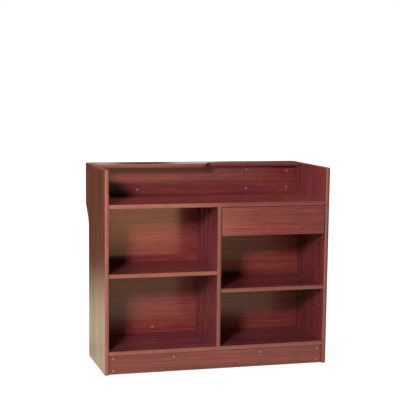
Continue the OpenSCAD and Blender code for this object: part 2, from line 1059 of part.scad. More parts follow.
front_a = [front_x0, front_z0];
front_b = [front_x1, front_z1];
front_runs = [
    [[front_a[0] + edge_t, front_a[1] + corner_r], [front_a[0] + edge_t, front_b[1] - corner_r]],
    [[front_a[0] + corner_r, front_b[1] - edge_t], [front_b[0] - corner_r, front_b[1] - edge_t]],
    [[front_b[0] - edge_t, front_b[1] - corner_r], [front_b[0] - edge_t, front_a[1] + corner_r]],
    [[front_b[0] - corner_r, front_a[1] + edge_t], [front_a[0] + corner_r, front_a[1] + edge_t]]
];
front_corners = [
    [[front_a[0] + corner_r, front_a[1] + corner_r], 180],
    [[front_a[0] + corner_r, front_b[1] - corner_r], 90],
    [[front_b[0] - corner_r, front_b[1] - corner_r], 0],
    [[front_b[0] - corner_r, front_a[1] + corner_r], 270]
];
front_screws = [
    for (x = [box_x0 + front_screw_in, box_x1 - front_screw_in])
        for (z = [box_z0 + front_screw_low, box_z0 + box_h - front_screw_high])
            [x, z]
];

module front_core() {
    translate([front_a[0] + edge_t, front_a[1] + corner_r])
        square([front_b[0] - front_a[0] - 2 * edge_t, drawer_front_h - 2 * corner_r]);
    translate([front_a[0] + corner_r, front_a[1] + edge_t])
        square([front_b[0] - front_a[0] - 2 * corner_r, drawer_front_h - 2 * edge_t]);
    for (c = front_corners)
        translate(c[0])
            circle(r = core_r);
}

module drawer_front() {
    color(laminate)
        difference() {
            facing(drawer_set_back + board_t / 2)
                translate([0, 0, -board_t / 2])
                    linear_extrude(board_t)
                        front_core();
            facing(drawer_set_back + board_t / 2)
                for (r = front_runs)
                    slot_run(r[0], r[1]);
            front_screw_places()
                screw_hole(box_t + screw_l);
        }
}

module drawer_front_edging() {
    color(moulding)
        facing(drawer_set_back + board_t / 2) {
            for (r = front_runs)
                edge_run(r[0], r[1]);
            for (c = front_corners)
                edge_turn(c[0], core_r, c[1], 90);
        }
}

// A screw along +Z that reaches length l beyond the face at z = 0, where its head lies
module screw(l, head_l = screw_head_l) {
    translate([0, 0, -head_l])
        cylinder(r = screw_head_r, h = head_l);
    translate([0, 0, -head_l / 2])
        cylinder(r = screw_r, h = l + head_l / 2);
}

module screw_hole(l) {
    translate([0, 0, -cut])
        cylinder(r = screw_r + hole_gap, h = l + slot_gap + cut);
}

// The heads lie against the inner face of the inner front, and the screws point forwards
module front_screw_places() {
    for (p = front_screws)
        translate([p[0], dy(front_d1 + box_t), p[1]])
            rotate([90, 0, 0])
                children();
}

bottom_z0 = box_z0 + bottom_lift;
bottom_a = [box_x0 + box_t - groove_l, front_d1 + box_t - groove_l, bottom_z0];
bottom_b = [box_x1 - box_t + groove_l, box_d1 - box_t + groove_l, bottom_z0 + bottom_t];

// The groove round the box is the bottom's own space with a gap round it
module bottom_space() {
    block([bottom_a[0] - groove_gap, bottom_a[1] - groove_gap, bottom_a[2] - groove_gap],
          [bottom_b[0] + groove_gap, bottom_b[1] + groove_gap, bottom_b[2] + groove_gap]);
}

module drawer_bottom() {
    color(hardboard)
        block(bottom_a, bottom_b);
}

corner_screw_z = [
    box_z0 + bottom_lift + bottom_t + corner_screw_low,
    box_z0 + box_h - corner_screw_high
];

// Screws through the box sides into the ends of its inner front and rear
module corner_screw_places() {
    for (z = corner_screw_z)
        for (d = [front_d1 + box_t / 2, box_d1 - box_t / 2]) {
            translate([box_x0 + screw_head_l, dy(d), z])
                rotate([0, 90, 0])
                    children();
            translate([box_x1 - screw_head_l, dy(d), z])
                rotate([0, -90, 0])
                    children();
        }
}

module sunk_screw_hole(l) {
    screw_hole(l);
    translate([0, 0, -screw_head_l - cut])
        cylinder(r = screw_head_r + hole_gap, h = screw_head_l + cut);
}

module drawer_corner_screws() {
    color(zinc)
        corner_screw_places()
            screw(box_t + screw_l);
}

module drawer_front_screws() {
    color(zinc)
        front_screw_places()
            screw(box_t + screw_l);
}

module box_end(d) {
    difference() {
        block([box_x0 + box_t, d, box_z0], [box_x1 - box_t, d + box_t, box_z0 + box_h]);
        bottom_space();
        corner_screw_places()
            sunk_screw_hole(box_t + screw_l);
    }
}

module drawer_inner_front() {
    color(raw_board)
        difference() {
            box_end(front_d1);
            front_screw_places()
                screw_hole(box_t + screw_l);
        }
}

module drawer_rear() {
    color(raw_board)
        box_end(box_d1 - box_t);
}

module box_side(x) {
    difference() {
        block([x, front_d1, box_z0], [x + box_t, box_d1, box_z0 + box_h]);
        bottom_space();
        corner_screw_places()
            sunk_screw_hole(box_t + screw_l);
        for (s = [-1, 1])
            runner_side(s)
                drawer_screw_places()
                    screw_hole(steel_t + runner_screw_l);
    }
}

module drawer_left_side() {
    color(raw_board)
        box_side(box_x0);
}

module drawer_right_side() {
    color(raw_board)
        box_side(box_x1 - box_t);
}

// Runners, drawn from the case's face at X = 0 towards the drawer

// Puts its children at the left face of the drawer bay for -1 and mirrored at the right face for 1
module runner_side(s) {
    if (s < 0)
        translate([divider_x1, 0, 0])
            children();
    else
        translate([side_in, 0, 0])
            mirror([1, 0, 0])
                children();
}

// Runs a section, drawn in X and height, along the runner
module along_runner() {
    translate([0, dy(runner_d0 + runner_l), 0])
        rotate([90, 0, 0])
            linear_extrude(runner_l)
                children();
}

// A rod along X whose middle lies on an axle, from s0 to s1
module axle_rod(d, r, s0, s1) {
    translate([s0, dy(d), axle_z])
        rotate([0, 90, 0])
            cylinder(r = r, h = s1 - s0);
}

cabinet_screw_d = [
    runner_d0 + cabinet_screw_in,
    runner_d0 + runner_l / 2,
    runner_d0 + runner_l - cabinet_screw_in
];
drawer_screw_d = [runner_d0 + drawer_screw_in, runner_d0 + runner_l - drawer_screw_in];

module cabinet_screw_places() {
    for (d = cabinet_screw_d)
        translate([steel_t, dy(d), axle_z])
            rotate([0, -90, 0])
                children();
}

module drawer_screw_places() {
    for (d = drawer_screw_d)
        translate([runner_gap + box_t / 2, dy(d), box_z0 - steel_t])
            children();
}

module cabinet_screw_holes() {
    cabinet_screw_places()
        screw_hole(steel_t + bolt_in);
}

module cabinet_runner() {
    difference() {
        along_runner() {
            translate([0, track_z - steel_t])
                square([steel_t, ceiling_z - track_z + 2 * steel_t]);
            translate([0, track_z - steel_t])
                square([track_w, steel_t]);
            translate([track_w - steel_t, track_z - steel_t])
                square([steel_t, steel_t + lip_h]);
            translate([0, ceiling_z])
                square([track_w - steel_t, steel_t]);
        }
        cabinet_screw_holes();
        axle_rod(front_axle_d, axle_r + hole_gap, -cut, steel_t + cut);
    }
}

module drawer_runner() {
    difference() {
        along_runner() {
            translate([runner_gap - steel_t, box_z0 - steel_t])
                square([steel_t, flange_z - box_z0 + 2 * steel_t]);
            translate([steel_t + flange_clear, flange_z])
                square([runner_gap - steel_t - flange_clear, steel_t]);
            translate([runner_gap - steel_t, box_z0 - steel_t])
                square([steel_t + box_t, steel_t]);
        }
        drawer_screw_places()
            screw_hole(steel_t + runner_screw_l);
        axle_rod(rear_axle_d, axle_r + hole_gap, runner_gap - steel_t - cut, runner_gap + cut);
    }
}

module left_cabinet_runner() {
    color(runner_white)
        runner_side(-1)
            cabinet_runner();
}

module right_cabinet_runner() {
    color(runner_white)
        runner_side(1)
            cabinet_runner();
}

module left_drawer_runner() {
    color(runner_white)
        runner_side(-1)
            drawer_runner();
}

module right_drawer_runner() {
    color(runner_white)
        runner_side(1)
            drawer_runner();
}

module cabinet_runner_screws() {
    color(zinc)
        for (s = [-1, 1])
            runner_side(s)
                cabinet_screw_places()
                    screw(steel_t + bolt_in, runner_head_l);
}

module drawer_runner_screws() {
    color(zinc)
        for (s = [-1, 1])
            runner_side(s)
                drawer_screw_places()
                    screw(steel_t + runner_screw_l);
}

// An axle from the steel at s0 through its roller to a head beyond the roller
module front_axle() {
    axle_rod(front_axle_d, axle_r, hole_gap, roller_s + roller_w + flange_clear / 2);
    axle_rod(front_axle_d, head_r, roller_s + roller_w + flange_clear / 4,
             roller_s + roller_w + flange_clear / 4 + head_t);
}

module rear_axle() {
    axle_rod(rear_axle_d, axle_r, roller_s - flange_clear / 2, runner_gap - hole_gap);
    axle_rod(rear_axle_d, head_r, roller_s - flange_clear / 4 - head_t, roller_s - flange_clear / 4);
}

module front_roller_axles() {
    color(zinc)
        for (s = [-1, 1])
            runner_side(s)
                front_axle();
}

module rear_roller_axles() {
    color(zinc)
        for (s = [-1, 1])
            runner_side(s)
                rear_axle();
}

module roller(d) {
    difference() {
        axle_rod(d, roller_r, roller_s, roller_s + roller_w);
        axle_rod(d, axle_r + run_gap, roller_s - cut, roller_s + roller_w + cut);
    }
}

module left_front_roller() {
    color(nylon)
        runner_side(-1)
            roller(front_axle_d);
}

module right_front_roller() {
    color(nylon)
        runner_side(1)
            roller(front_axle_d);
}

module left_rear_roller() {
    color(nylon)
        runner_side(-1)
            roller(rear_axle_d);
}

module right_rear_roller() {
    color(nylon)
        runner_side(1)
            roller(rear_axle_d);
}

left_side_panel();
right_side_panel();
left_side_edging();
right_side_edging();
divider();
divider_edging();
work_top();
work_top_edging();
base_deck();
base_deck_edging();
front_kick_plate();
rear_kick_plate();
lower_back();
upper_back();
ledge();
ledge_edging();
back_cam_locks();
kick_cam_locks();
deck_cam_locks();
back_cam_bolts();
kick_cam_bolts();
deck_cam_bolts();
back_cam_caps();
kick_cam_caps();
deck_cam_caps();
wood_dowels();
floor_glides();
left_shelf_pins();
right_shelf_pins();
left_shelf();
left_shelf_edging();
right_shelf();
right_shelf_edging();
drawer_front();
drawer_front_edging();
drawer_inner_front();
drawer_left_side();
drawer_right_side();
drawer_rear();
drawer_bottom();
drawer_corner_screws();
drawer_front_screws();
left_cabinet_runner();
right_cabinet_runner();
left_drawer_runner();
right_drawer_runner();
cabinet_runner_screws();
drawer_runner_screws();
front_roller_axles();
rear_roller_axles();
left_front_roller();
right_front_roller();
left_rear_roller();
right_rear_roller();
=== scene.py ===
"""Finishes, small fittings and studio of a ledge-top shop counter.

The boards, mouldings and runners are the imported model's own nodes, and get their
materials here. Cover caps, pins, screws, rollers, axles and glides are modelled anew
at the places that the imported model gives. Everything is in metres: +X to the clerk's
right, +Y to the customers, +Z up.
"""

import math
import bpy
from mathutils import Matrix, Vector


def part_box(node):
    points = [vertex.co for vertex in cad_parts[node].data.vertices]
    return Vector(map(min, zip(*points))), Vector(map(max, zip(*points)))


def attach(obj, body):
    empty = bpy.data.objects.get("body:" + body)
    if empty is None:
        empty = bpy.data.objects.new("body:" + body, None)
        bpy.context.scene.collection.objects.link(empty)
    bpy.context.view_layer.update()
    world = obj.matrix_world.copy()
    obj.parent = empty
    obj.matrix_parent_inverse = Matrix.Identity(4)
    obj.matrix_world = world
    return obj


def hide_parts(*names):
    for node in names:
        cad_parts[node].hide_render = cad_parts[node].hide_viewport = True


bl_info = {
    "name": "Shop Counter Finishes",
    "version": (1, 0, 0),
    "blender": (4, 5, 0),
    "location": "View3D > Sidebar > Counter",
    "description": "Woodgrain laminate, edge moulding and fittings of a ledge-top shop counter",
    "category": "Object",
}

import bpy
from bpy.props import FloatProperty, FloatVectorProperty, IntProperty, PointerProperty
from mathutils import Euler, Matrix, Vector

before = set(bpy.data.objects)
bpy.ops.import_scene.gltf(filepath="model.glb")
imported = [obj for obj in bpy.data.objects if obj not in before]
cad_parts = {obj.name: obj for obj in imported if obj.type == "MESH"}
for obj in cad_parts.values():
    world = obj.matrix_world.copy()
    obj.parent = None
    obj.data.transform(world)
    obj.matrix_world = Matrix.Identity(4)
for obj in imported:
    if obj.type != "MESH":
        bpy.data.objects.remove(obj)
MM = 0.001
UP = Vector((0, 0, 1))
WHITE = (1.0, 1.0, 1.0, 1.0)

# Points this near each other count as one place
NEAR = 1e-5
# Corners of one solid are matched on a grid of so many steps per metre
STEPS = 1e5
# Corners of a finished piece that are nearer than this are merged
MERGE = 1e-6
# A face counts as level when its normal's Z is past this
LEVEL = 0.9
# Faces that meet at less than this are shaded smooth
SMOOTH_BELOW = math.radians(35)
# Width of the seam where a wider collar starts on a rod
HAIR = 0.01 * MM


# Working in edit mode

def clear():
    """Leaves edit mode and deselects everything."""
    if bpy.context.object and bpy.context.object.mode != "OBJECT":
        bpy.ops.object.mode_set(mode="OBJECT")
    bpy.ops.object.select_all(action="DESELECT")


def take(piece):
    """Selects only this piece and makes it the active one."""
    clear()
    piece.select_set(True)
    bpy.context.view_layer.objects.active = piece


def rename(name):
    """Names the piece that an operator has just added."""
    piece = bpy.context.object
    piece.name = name
    piece.data.name = name
    return piece


def settle():
    """Applies the active piece's place, turn and scale to its mesh."""
    bpy.ops.object.transform_apply(location=True, rotation=True, scale=True)


def rod(name, radius, length, middle, sides):
    """A cylinder about the Z axis, its middle at that height."""
    clear()
    bpy.ops.mesh.primitive_cylinder_add(
        vertices=sides, radius=radius, depth=length, location=(0, 0, middle)
    )
    piece = rename(name)
    settle()
    return piece


def block(name, sides, middle):
    """A box of those three sides about its middle."""
    clear()
    bpy.ops.mesh.primitive_cube_add(size=1, location=middle)
    piece = rename(name)
    bpy.ops.transform.resize(value=sides)
    settle()
    return piece


def pick_only(piece, mode, parts, hits):
    """Goes to edit mode with only those faces or edges selected."""
    bpy.context.tool_settings.mesh_select_mode = mode
    for kind in (piece.data.vertices, piece.data.edges, piece.data.polygons):
        kind.foreach_set("select", [False] * len(kind))
    parts.foreach_set("select", hits)
    bpy.ops.object.mode_set(mode="EDIT")
    if not any(hits):
        raise RuntimeError(f"nothing of {piece.name} passes the test")


def pick_faces(piece, test):
    """Selects only the faces whose centre and normal pass the test."""
    bpy.ops.object.mode_set(mode="OBJECT")
    faces = piece.data.polygons
    pick_only(piece, (False, False, True), faces, [bool(test(f.center, f.normal)) for f in faces])


def pick_edges(piece, test):
    """Selects only the edges whose two ends pass the test."""
    bpy.ops.object.mode_set(mode="OBJECT")
    at = [v.co for v in piece.data.vertices]
    edges = piece.data.edges
    hits = [bool(test(at[e.vertices[0]], at[e.vertices[1]])) for e in edges]
    pick_only(piece, (False, True, False), edges, hits)


def facing_up(centre, normal):
    return normal.z > LEVEL


def facing_down(centre, normal):
    return normal.z < -LEVEL


def ring(radius, z=None):
    """Test for the edges of a ring about the Z axis, at that height or at any."""
    def test(a, b):
        return all(
            abs(math.hypot(p.x, p.y) - radius) < 2 * NEAR and (z is None or abs(p.z - z) < NEAR)
            for p in (a, b)
        )
    return test


def step_in(width):
    """Insets the selected faces by a width."""
    bpy.ops.mesh.inset(thickness=width, depth=0)


def pull(dz):
    """Extrudes the selected faces along Z."""
    bpy.ops.mesh.extrude_region_move(TRANSFORM_OT_translate={"value": (0, 0, dz)})


def widen(factor, z=0):
    """Scales the selection across Z about the axis."""
    bpy.ops.transform.resize(value=(factor, factor, 1), center_override=(0, 0, z))


def flare(radius, wider):
    """Starts a wider collar on the selected end of a rod."""
    step_in(HAIR)
    pull(0)
    widen(wider / (radius - HAIR))


def round_off(width, steps):
    """Bevels the selected edges."""
    bpy.ops.mesh.bevel(offset=width, segments=steps, profile=0.5, affect="EDGES")


def soften(piece, radius, z, width, steps):
    """Rounds the ring of edges at that radius and height."""
    pick_edges(piece, ring(radius, z))
    round_off(width, steps)


def close(piece):
    """Back to object mode with outward normals and smooth shading."""
    bpy.ops.object.mode_set(mode="EDIT")
    bpy.ops.mesh.select_all(action="SELECT")
    bpy.ops.mesh.remove_doubles(threshold=MERGE)
    bpy.ops.mesh.normals_make_consistent(inside=False)
    bpy.ops.object.mode_set(mode="OBJECT")
    take(piece)
    bpy.ops.object.shade_smooth_by_angle(angle=SMOOTH_BELOW)


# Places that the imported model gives

def solids(node):
    """The separate solids of a CAD node, each as its list of vertices, in a fixed order."""
    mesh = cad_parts[node].data
    root = {}

    def find(k):
        while root[k] != k:
            root[k] = root[root[k]]
            k = root[k]
        return k

    keys = [tuple(round(c * STEPS) for c in v.co) for v in mesh.vertices]
    for k in keys:
        root.setdefault(k, k)
    for f in mesh.polygons:
        first = find(keys[f.vertices[0]])
        for i in f.vertices[1:]:
            root[find(keys[i])] = first
    groups = {}
    for v, k in zip(mesh.vertices, keys):
        groups.setdefault(find(k), []).append(v.co.copy())
    found = [groups[k] for k in sorted(groups)]
    if not found:
        raise RuntimeError(f"{node} has no solids")
    return found


def corners(points):
    """The lowest and highest corner of the box round some points."""
    low = Vector([min(p[i] for p in points) for i in range(3)])
    high = Vector([max(p[i] for p in points) for i in range(3)])
    return low, high


def long_axis(points):
    low, high = corners(points)
    return max(range(3), key=lambda i: high[i] - low[i])


def short_axis(points):
    low, high = corners(points)
    return min(range(3), key=lambda i: high[i] - low[i])


def turned_part(points, axis):
    """Where the head of a turned solid sits, which way its shank runs, and the sizes of both."""
    low, high = corners(points)
    middle = (low + high) / 2
    u, v = [i for i in range(3) if i != axis]
    spin = [(p[axis], math.hypot(p[u] - middle[u], p[v] - middle[v])) for p in points]
    head = max(r for _, r in spin)
    # The head is all that comes within a tenth of the largest radius
    wide = [s for s, r in spin if r > head * 0.9]
    at_low = sum(wide) / len(wide) < middle[axis]
    end = min(wide) if at_low else max(wide)
    far = high[axis] if at_low else low[axis]
    into = Vector((0, 0, 0))
    into[axis] = 1 if at_low else -1
    seat = middle.copy()
    seat[axis] = max(wide) if at_low else min(wide)
    return {
        "into": into,
        "seat": seat,
        "head_r": head,
        "head_l": abs(seat[axis] - end),
        "shank_r": max(r for s, r in spin if abs(s - far) < NEAR),
        "length": abs(far - seat[axis]),
    }


def put(piece, seat, turn):
    """Turns a piece that was modelled at the origin, moves it to its seat, and applies both."""
    piece.matrix_world = Matrix.Translation(seat) @ turn.to_4x4()
    take(piece)
    settle()


def stand(piece, seat, up):
    """Puts a piece at its seat with its Z axis along up."""
    put(piece, seat, UP.rotation_difference(up).to_matrix())


def copy_of(piece):
    """A copy with a mesh of its own."""
    take(piece)
    bpy.ops.object.duplicate(linked=False)
    return bpy.context.object


def gather(parts, name):
    """Joins the copies of one kind into one piece at the origin."""
    clear()
    for p in parts:
        p.select_set(True)
    bpy.context.view_layer.objects.active = parts[0]
    if len(parts) > 1:
        bpy.ops.object.join()
    return rename(name)


def repeat(model, places, name):
    """Copies a model to each seat, its Z axis along the way given with it, as one piece."""
    made = []
    for seat, up in places:
        made.append(copy_of(model))
        stand(made[-1], seat, up)
    return gather(made, name)


def hand_over(piece, body, node, finish):
    """Gives a piece its finish, hangs it on the body it rides, and hides the node it stands for."""
    piece.data.materials.clear()
    piece.data.materials.append(finish)
    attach(piece, body)
    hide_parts(node)


def dress(node, finish):
    """Puts one finish on a CAD node."""
    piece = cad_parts[node]
    if not piece.data.materials:
        piece.data.materials.append(finish)
    for i in range(len(piece.data.materials)):
        piece.data.materials[i] = finish


# Building node trees

class Nodes:
    """A tree of shader nodes, with short ways to add and join them."""

    def __init__(self, tree):
        self.tree = tree

    def feed(self, socket, value):
        """Joins an output to a socket, or sets a number or colour on it."""
        if isinstance(value, bpy.types.NodeSocket):
            self.tree.links.new(value, socket)
        else:
            socket.default_value = value

    def add(self, kind, sockets=(), **settings):
        """Adds a node with these settings, and feeds the sockets that are named or numbered."""
        made = self.tree.nodes.new(kind)
        for key, value in settings.items():
            setattr(made, key, value)
        for key, value in dict(sockets).items():
            self.feed(made.inputs[key], value)
        return made

    def math(self, how, a, b=0.0):
        return self.add("ShaderNodeMath", {0: a, 1: b}, operation=how).outputs[0]

    def mix(self, share, a, b, how="MIX"):
        """Two colours, the second one by a share."""
        made = self.add("ShaderNodeMix", {0: share, 6: a, 7: b}, data_type="RGBA", blend_type=how)
        return made.outputs[2]

    def blend(self, share, a, b):
        """Two shaders, the second one by a share."""
        return self.add("ShaderNodeMixShader", {0: share, 1: a, 2: b}).outputs[0]

    def split(self, vector):
        """The X, Y and Z of a vector."""
        return self.add("ShaderNodeSeparateXYZ", {0: vector}).outputs

    def spread(self, value, low, high, start=0.0, end=1.0):
        """Goes evenly from low to high while a value goes from start to end."""
        span = {"From Min": start, "From Max": end, "To Min": low, "To Max": high}
        return self.add("ShaderNodeMapRange", {"Value": value, **span}).outputs["Result"]

    def fade(self, value, start, end):
        """Goes softly from 0 to 1 while a value goes from start to end."""
        span = {"Value": value, "From Min": start, "From Max": end}
        made = self.add("ShaderNodeMapRange", span, interpolation_type="SMOOTHSTEP")
        return made.outputs["Result"]

    def ramp(self, factor, stops):
        """Colours at places along a value."""
        made = self.add("ShaderNodeValToRGB", {"Fac": factor})
        band = made.color_ramp
        while len(band.elements) < len(stops):
            band.elements.new(0.5)
        for element, (position, colour) in zip(band.elements, stops):
            element.position = position
            element.color = colour
        return made.outputs["Color"]

    def shown(self, path, camera):
        """1 for rays in gloss and through glass, and a share for the camera's own."""
        seen = self.math("ADD", camera, path["Is Glossy Ray"])
        return self.math("ADD", seen, path["Is Transmission Ray"])


class Finish(Nodes):
    """A material under construction."""

    def __init__(self, name):
        self.material = bpy.data.materials.new(name)
        self.material.use_nodes = True
        super().__init__(self.material.node_tree)
        self.shader = self.tree.nodes["Principled BSDF"]

    def place(self, cells, shift=(0, 0, 0)):
        """Object coordinates with so many cells per metre, on all axes or on each."""
        coords = self.add("ShaderNodeTexCoord").outputs["Object"]
        scale = cells if isinstance(cells, tuple) else (cells, cells, cells)
        spot = {"Vector": coords, "Location": shift, "Scale": scale}
        return self.add("ShaderNodeMapping", spot).outputs["Vector"]

    def noise(self, vector, detail, roughness, distortion=0.0):
        look = {"Detail": detail, "Roughness": roughness, "Distortion": distortion}
        made = self.add("ShaderNodeTexNoise", {"Vector": vector, "Scale": 1.0, **look})
        return made.outputs["Fac"]

    def shades(self, factor, colour, low, high, start=0.3, end=0.7):
        """One colour, from a low to a high level of it."""
        return self.ramp(factor, [(start, rgba(colour, low)), (end, rgba(colour, high))])

    def finish(self, colour, rough, bump, strength, depth):
        """Feeds the shader its colour, roughness and fine relief, and gives the material."""
        relief = self.add("ShaderNodeBump", {"Height": bump, "Strength": strength, "Distance": depth})
        self.feed(self.shader.inputs["Base Color"], colour)
        self.feed(self.shader.inputs["Roughness"], rough)
        self.feed(self.shader.inputs["Normal"], relief.outputs["Normal"])
        return self.material


def rgba(colour, level=1.0):
    return tuple(c * level for c in colour[:3]) + (1.0,)


def grey(level):
    return (level, level, level, 1.0)


# Finishes

# The sides and the lying boards are cut from sheets whose patches have other widths. The letter
# is the axis that runs through the board
PATCH_BREADTH = {"X": 0.6, "Y": 1.2, "Z": 0.5}
# Parts of the grain that come from its bands, its streaks and its figure
BAND_PART, STREAK_PART, FIGURE_PART = 0.28, 0.64, 0.08
# Where a broad patch is fully of the one kind and where fully of the other
PATCH_FROM, PATCH_TO = 0.34, 0.66


def woodgrain(name, along, face, shift, look, tint, swing):
    """Laminate printed with reddish grain along X or Z, on the faces across one axis.

    Each board gets its own shift, and a tint that paints light and shade on it. The swing says
    how far its broad bands lean to light or dark, and to orange or purple. Bores and sawn edges
    show the raw chipboard.
    """
    f = Finish(name)
    coarse = {"X": look.upright_grain, "Y": 1.0, "Z": look.lying_grain}[face]
    upright = along == "Z"

    def printed(length, width, offset=0.0):
        """Coordinates for marks of that length along the grain and that width across it."""
        long, wide = 1 / length, 1 / width
        cells = (wide, wide, long) if upright else (long, wide, wide)
        return f.place(cells, tuple(v + offset for v in shift))

    # The board's tint on each colour, which paints light and shade on the board
    def shade_tinted(colour):
        return tuple(c * t for c, t in zip(colour, tint)) + (1.0,)

    # Red grain
    where = printed(0.7, look.band_width * coarse)
    bands = f.noise(where, detail=3, roughness=0.55, distortion=0.5)
    where = printed(0.11 * coarse, look.streak_width * coarse)
    streaks = f.noise(where, detail=2 if upright else 4, roughness=0.65, distortion=0.2)
    waves = {"Scale": 0.35, "Distortion": 9.0, "Detail": 2.0, "Detail Scale": 0.8}
    waves["Vector"] = printed(1.1, look.band_width)
    figure = f.add("ShaderNodeTexWave", waves, wave_type="BANDS", bands_direction="DIAGONAL")
    grain = f.math("MULTIPLY", bands, BAND_PART)
    grain = f.math("ADD", grain, f.math("MULTIPLY", streaks, STREAK_PART))
    grain = f.math("ADD", grain, f.math("MULTIPLY", figure.outputs["Fac"], FIGURE_PART))
    levels = (look.laminate_dark, look.laminate_red, look.laminate_light)
    colour = f.ramp(grain, list(zip((0.29, 0.50, 0.71), map(shade_tinted, levels))))
    # Brown bands
    brown = f.noise(printed(0.5, look.band_width * 0.6, 11.3), detail=3, roughness=0.6)
    brown_share = f.spread(brown, 0.0, 0.6, start=0.46, end=0.64)
    colour = f.mix(brown_share, colour, shade_tinted(look.laminate_brown))
    # Short dark pores
    where = printed(0.030 * coarse, look.pore_width * coarse, 3.7)
    pore = f.math("GREATER_THAN", f.noise(where, detail=2, roughness=0.5), 0.62)
    colour = f.mix(f.math("MULTIPLY", pore, 0.35), colour, shade_tinted(look.laminate_pore))
    # Broad patches that lean to orange or to purple, and to light or to dark
    breadth = look.patch_width * PATCH_BREADTH[face]
    patches = f.noise(printed(look.patch_width * 9, breadth, 5.9), detail=3, roughness=0.6)
    hue = swing * look.hue_share
    purple = (1 - 0.3 * hue, 1 - hue, 1 + hue, 1.0)
    orange = (1 + 0.3 * hue, 1 + hue, 1 - hue, 1.0)
    lean = f.ramp(patches, [(PATCH_FROM, purple), (PATCH_TO, orange)])
    colour = f.mix(1.0, colour, lean, "MULTIPLY")
    shade = f.noise(printed(look.patch_width * 12, breadth * 1.2, 8.1), detail=3, roughness=0.6)
    level = f.ramp(shade, [(PATCH_FROM, grey(1 - swing)), (PATCH_TO, grey(1 + swing))])
    colour = f.mix(1.0, colour, level, "MULTIPLY")
    # Raw chipboard wherever the surface isn't one of the board's two broad faces
    normal = f.split(f.add("ShaderNodeTexCoord").outputs["Normal"])
    sawn = f.math("LESS_THAN", f.math("ABSOLUTE", normal[face]), 0.5)
    chips = f.noise(f.place(400), detail=3, roughness=0.6)
    colour = f.mix(sawn, colour, f.shades(chips, look.chipboard, 0.7, 1.2, start=0.35, end=0.65))
    if upright:
        polish = f.spread(patches, look.gloss - 0.18, look.gloss + 0.18)
    else:
        polish = f.spread(streaks, look.gloss - 0.03, look.gloss + 0.05)
    f.shader.inputs["IOR"].default_value = 1.5
    bump = f.math("SUBTRACT", streaks, f.math("MULTIPLY", pore, 0.5))
    return f.finish(colour, polish, bump, strength=0.02, depth=0.2 * MM)


# Painted light and shade: a long moulding changes from its left level to its right level between
# these X
SHADE_SHIFT_FROM, SHADE_SHIFT_TO = -0.20, 0.10


def moulding_plastic(name, look, left, right):
    """Pinkish moulded plastic of the edges, with faint streaks and scuffs.

    The left and right ends have levels of their own, painted light and shade. Where they
    differ the right one is also redder, as painted shade.
    """
    f = Finish(name)
    cloud = f.noise(f.place(18), detail=3, roughness=0.5)
    grit = f.noise(f.place(900), detail=2, roughness=0.6)
    scuffs = f.noise(f.place(60, shift=(3, 1, 7)), detail=5, roughness=0.75, distortion=1.5)
    colour = f.shades(cloud, look.moulding, 0.9, 1.1)
    colour = f.mix(f.spread(scuffs, -1.6, 1.1), colour, rgba(look.moulding, 1.25))
    # Painted light and shade: each end's level, and at a darker right end a redder tone
    painted_shade = grey(left)
    if right != left:
        redder_shade = (right, right * 0.74, right * 0.94, 1.0)
        painted_shade = f.mix(f.fade(f.split(f.place(1))["X"], SHADE_SHIFT_FROM, SHADE_SHIFT_TO), painted_shade, redder_shade)
    colour = f.mix(1.0, colour, painted_shade, "MULTIPLY")
    f.shader.inputs["IOR"].default_value = 1.46
    return f.finish(colour, f.spread(scuffs, 0.30, 0.46), grit, strength=0.08, depth=0.2 * MM)


def cap_plastic(name, look):
    """Satin plastic of the cover caps."""
    f = Finish(name)
    cloud = f.noise(f.place(70), detail=2, roughness=0.5)
    grit = f.noise(f.place(1500), detail=2, roughness=0.6)
    colour = f.shades(cloud, look.cap, 0.88, 1.12)
    return f.finish(colour, f.spread(grit, 0.26, 0.36), grit, strength=0.05, depth=0.1 * MM)


def plain_board(name, look):
    """Pale board of the drawer box: fine chips under a thin clear foil."""
    f = Finish(name)
    cells = {"Vector": f.place((260, 420, 620)), "Scale": 1.0}
    chips = f.add("ShaderNodeTexVoronoi", cells, feature="F1").outputs["Distance"]
    cloud = f.noise(f.place((9, 9, 26)), detail=4, roughness=0.6)
    pale = look.box_board
    colour = f.ramp(cloud, [(0.25, rgba(pale, 0.82)), (0.5, rgba(pale)), (0.8, rgba(pale, 1.15))])
    colour = f.mix(f.spread(chips, 0.0, 0.35), colour, rgba(pale, 0.6))
    return f.finish(colour, f.spread(cloud, 0.42, 0.58), chips, strength=0.06, depth=0.2 * MM)


def fibre_board(name, look):
    """Brown hardboard, smooth on top with a faint felted fibre."""
    f = Finish(name)
    felt = f.noise(f.place(420), detail=5, roughness=0.7, distortion=1.2)
    cloud = f.noise(f.place(12), detail=3, roughness=0.5)
    colour = f.shades(cloud, look.hardboard, 0.85, 1.15)
    colour = f.mix(f.spread(felt, -0.4, 0.6), colour, rgba(look.hardboard, 1.5))
    return f.finish(colour, f.spread(felt, 0.38, 0.60), felt, strength=0.12, depth=0.2 * MM)


def bare_beech(name, look):
    """Beech of the dowels, with short flecks."""
    f = Finish(name)
    flecks = f.noise(f.place(500, shift=(1, 2, 3)), detail=3, roughness=0.6)
    grain = f.noise(f.place(120), detail=3, roughness=0.6, distortion=0.8)
    fleck = f.math("MULTIPLY", f.math("GREATER_THAN", flecks, 0.62), 0.4)
    colour = f.mix(fleck, f.shades(grain, look.beech, 0.8, 1.15), rgba(look.beech, 0.5))
    return f.finish(colour, 0.62, grain, strength=0.2, depth=0.2 * MM)


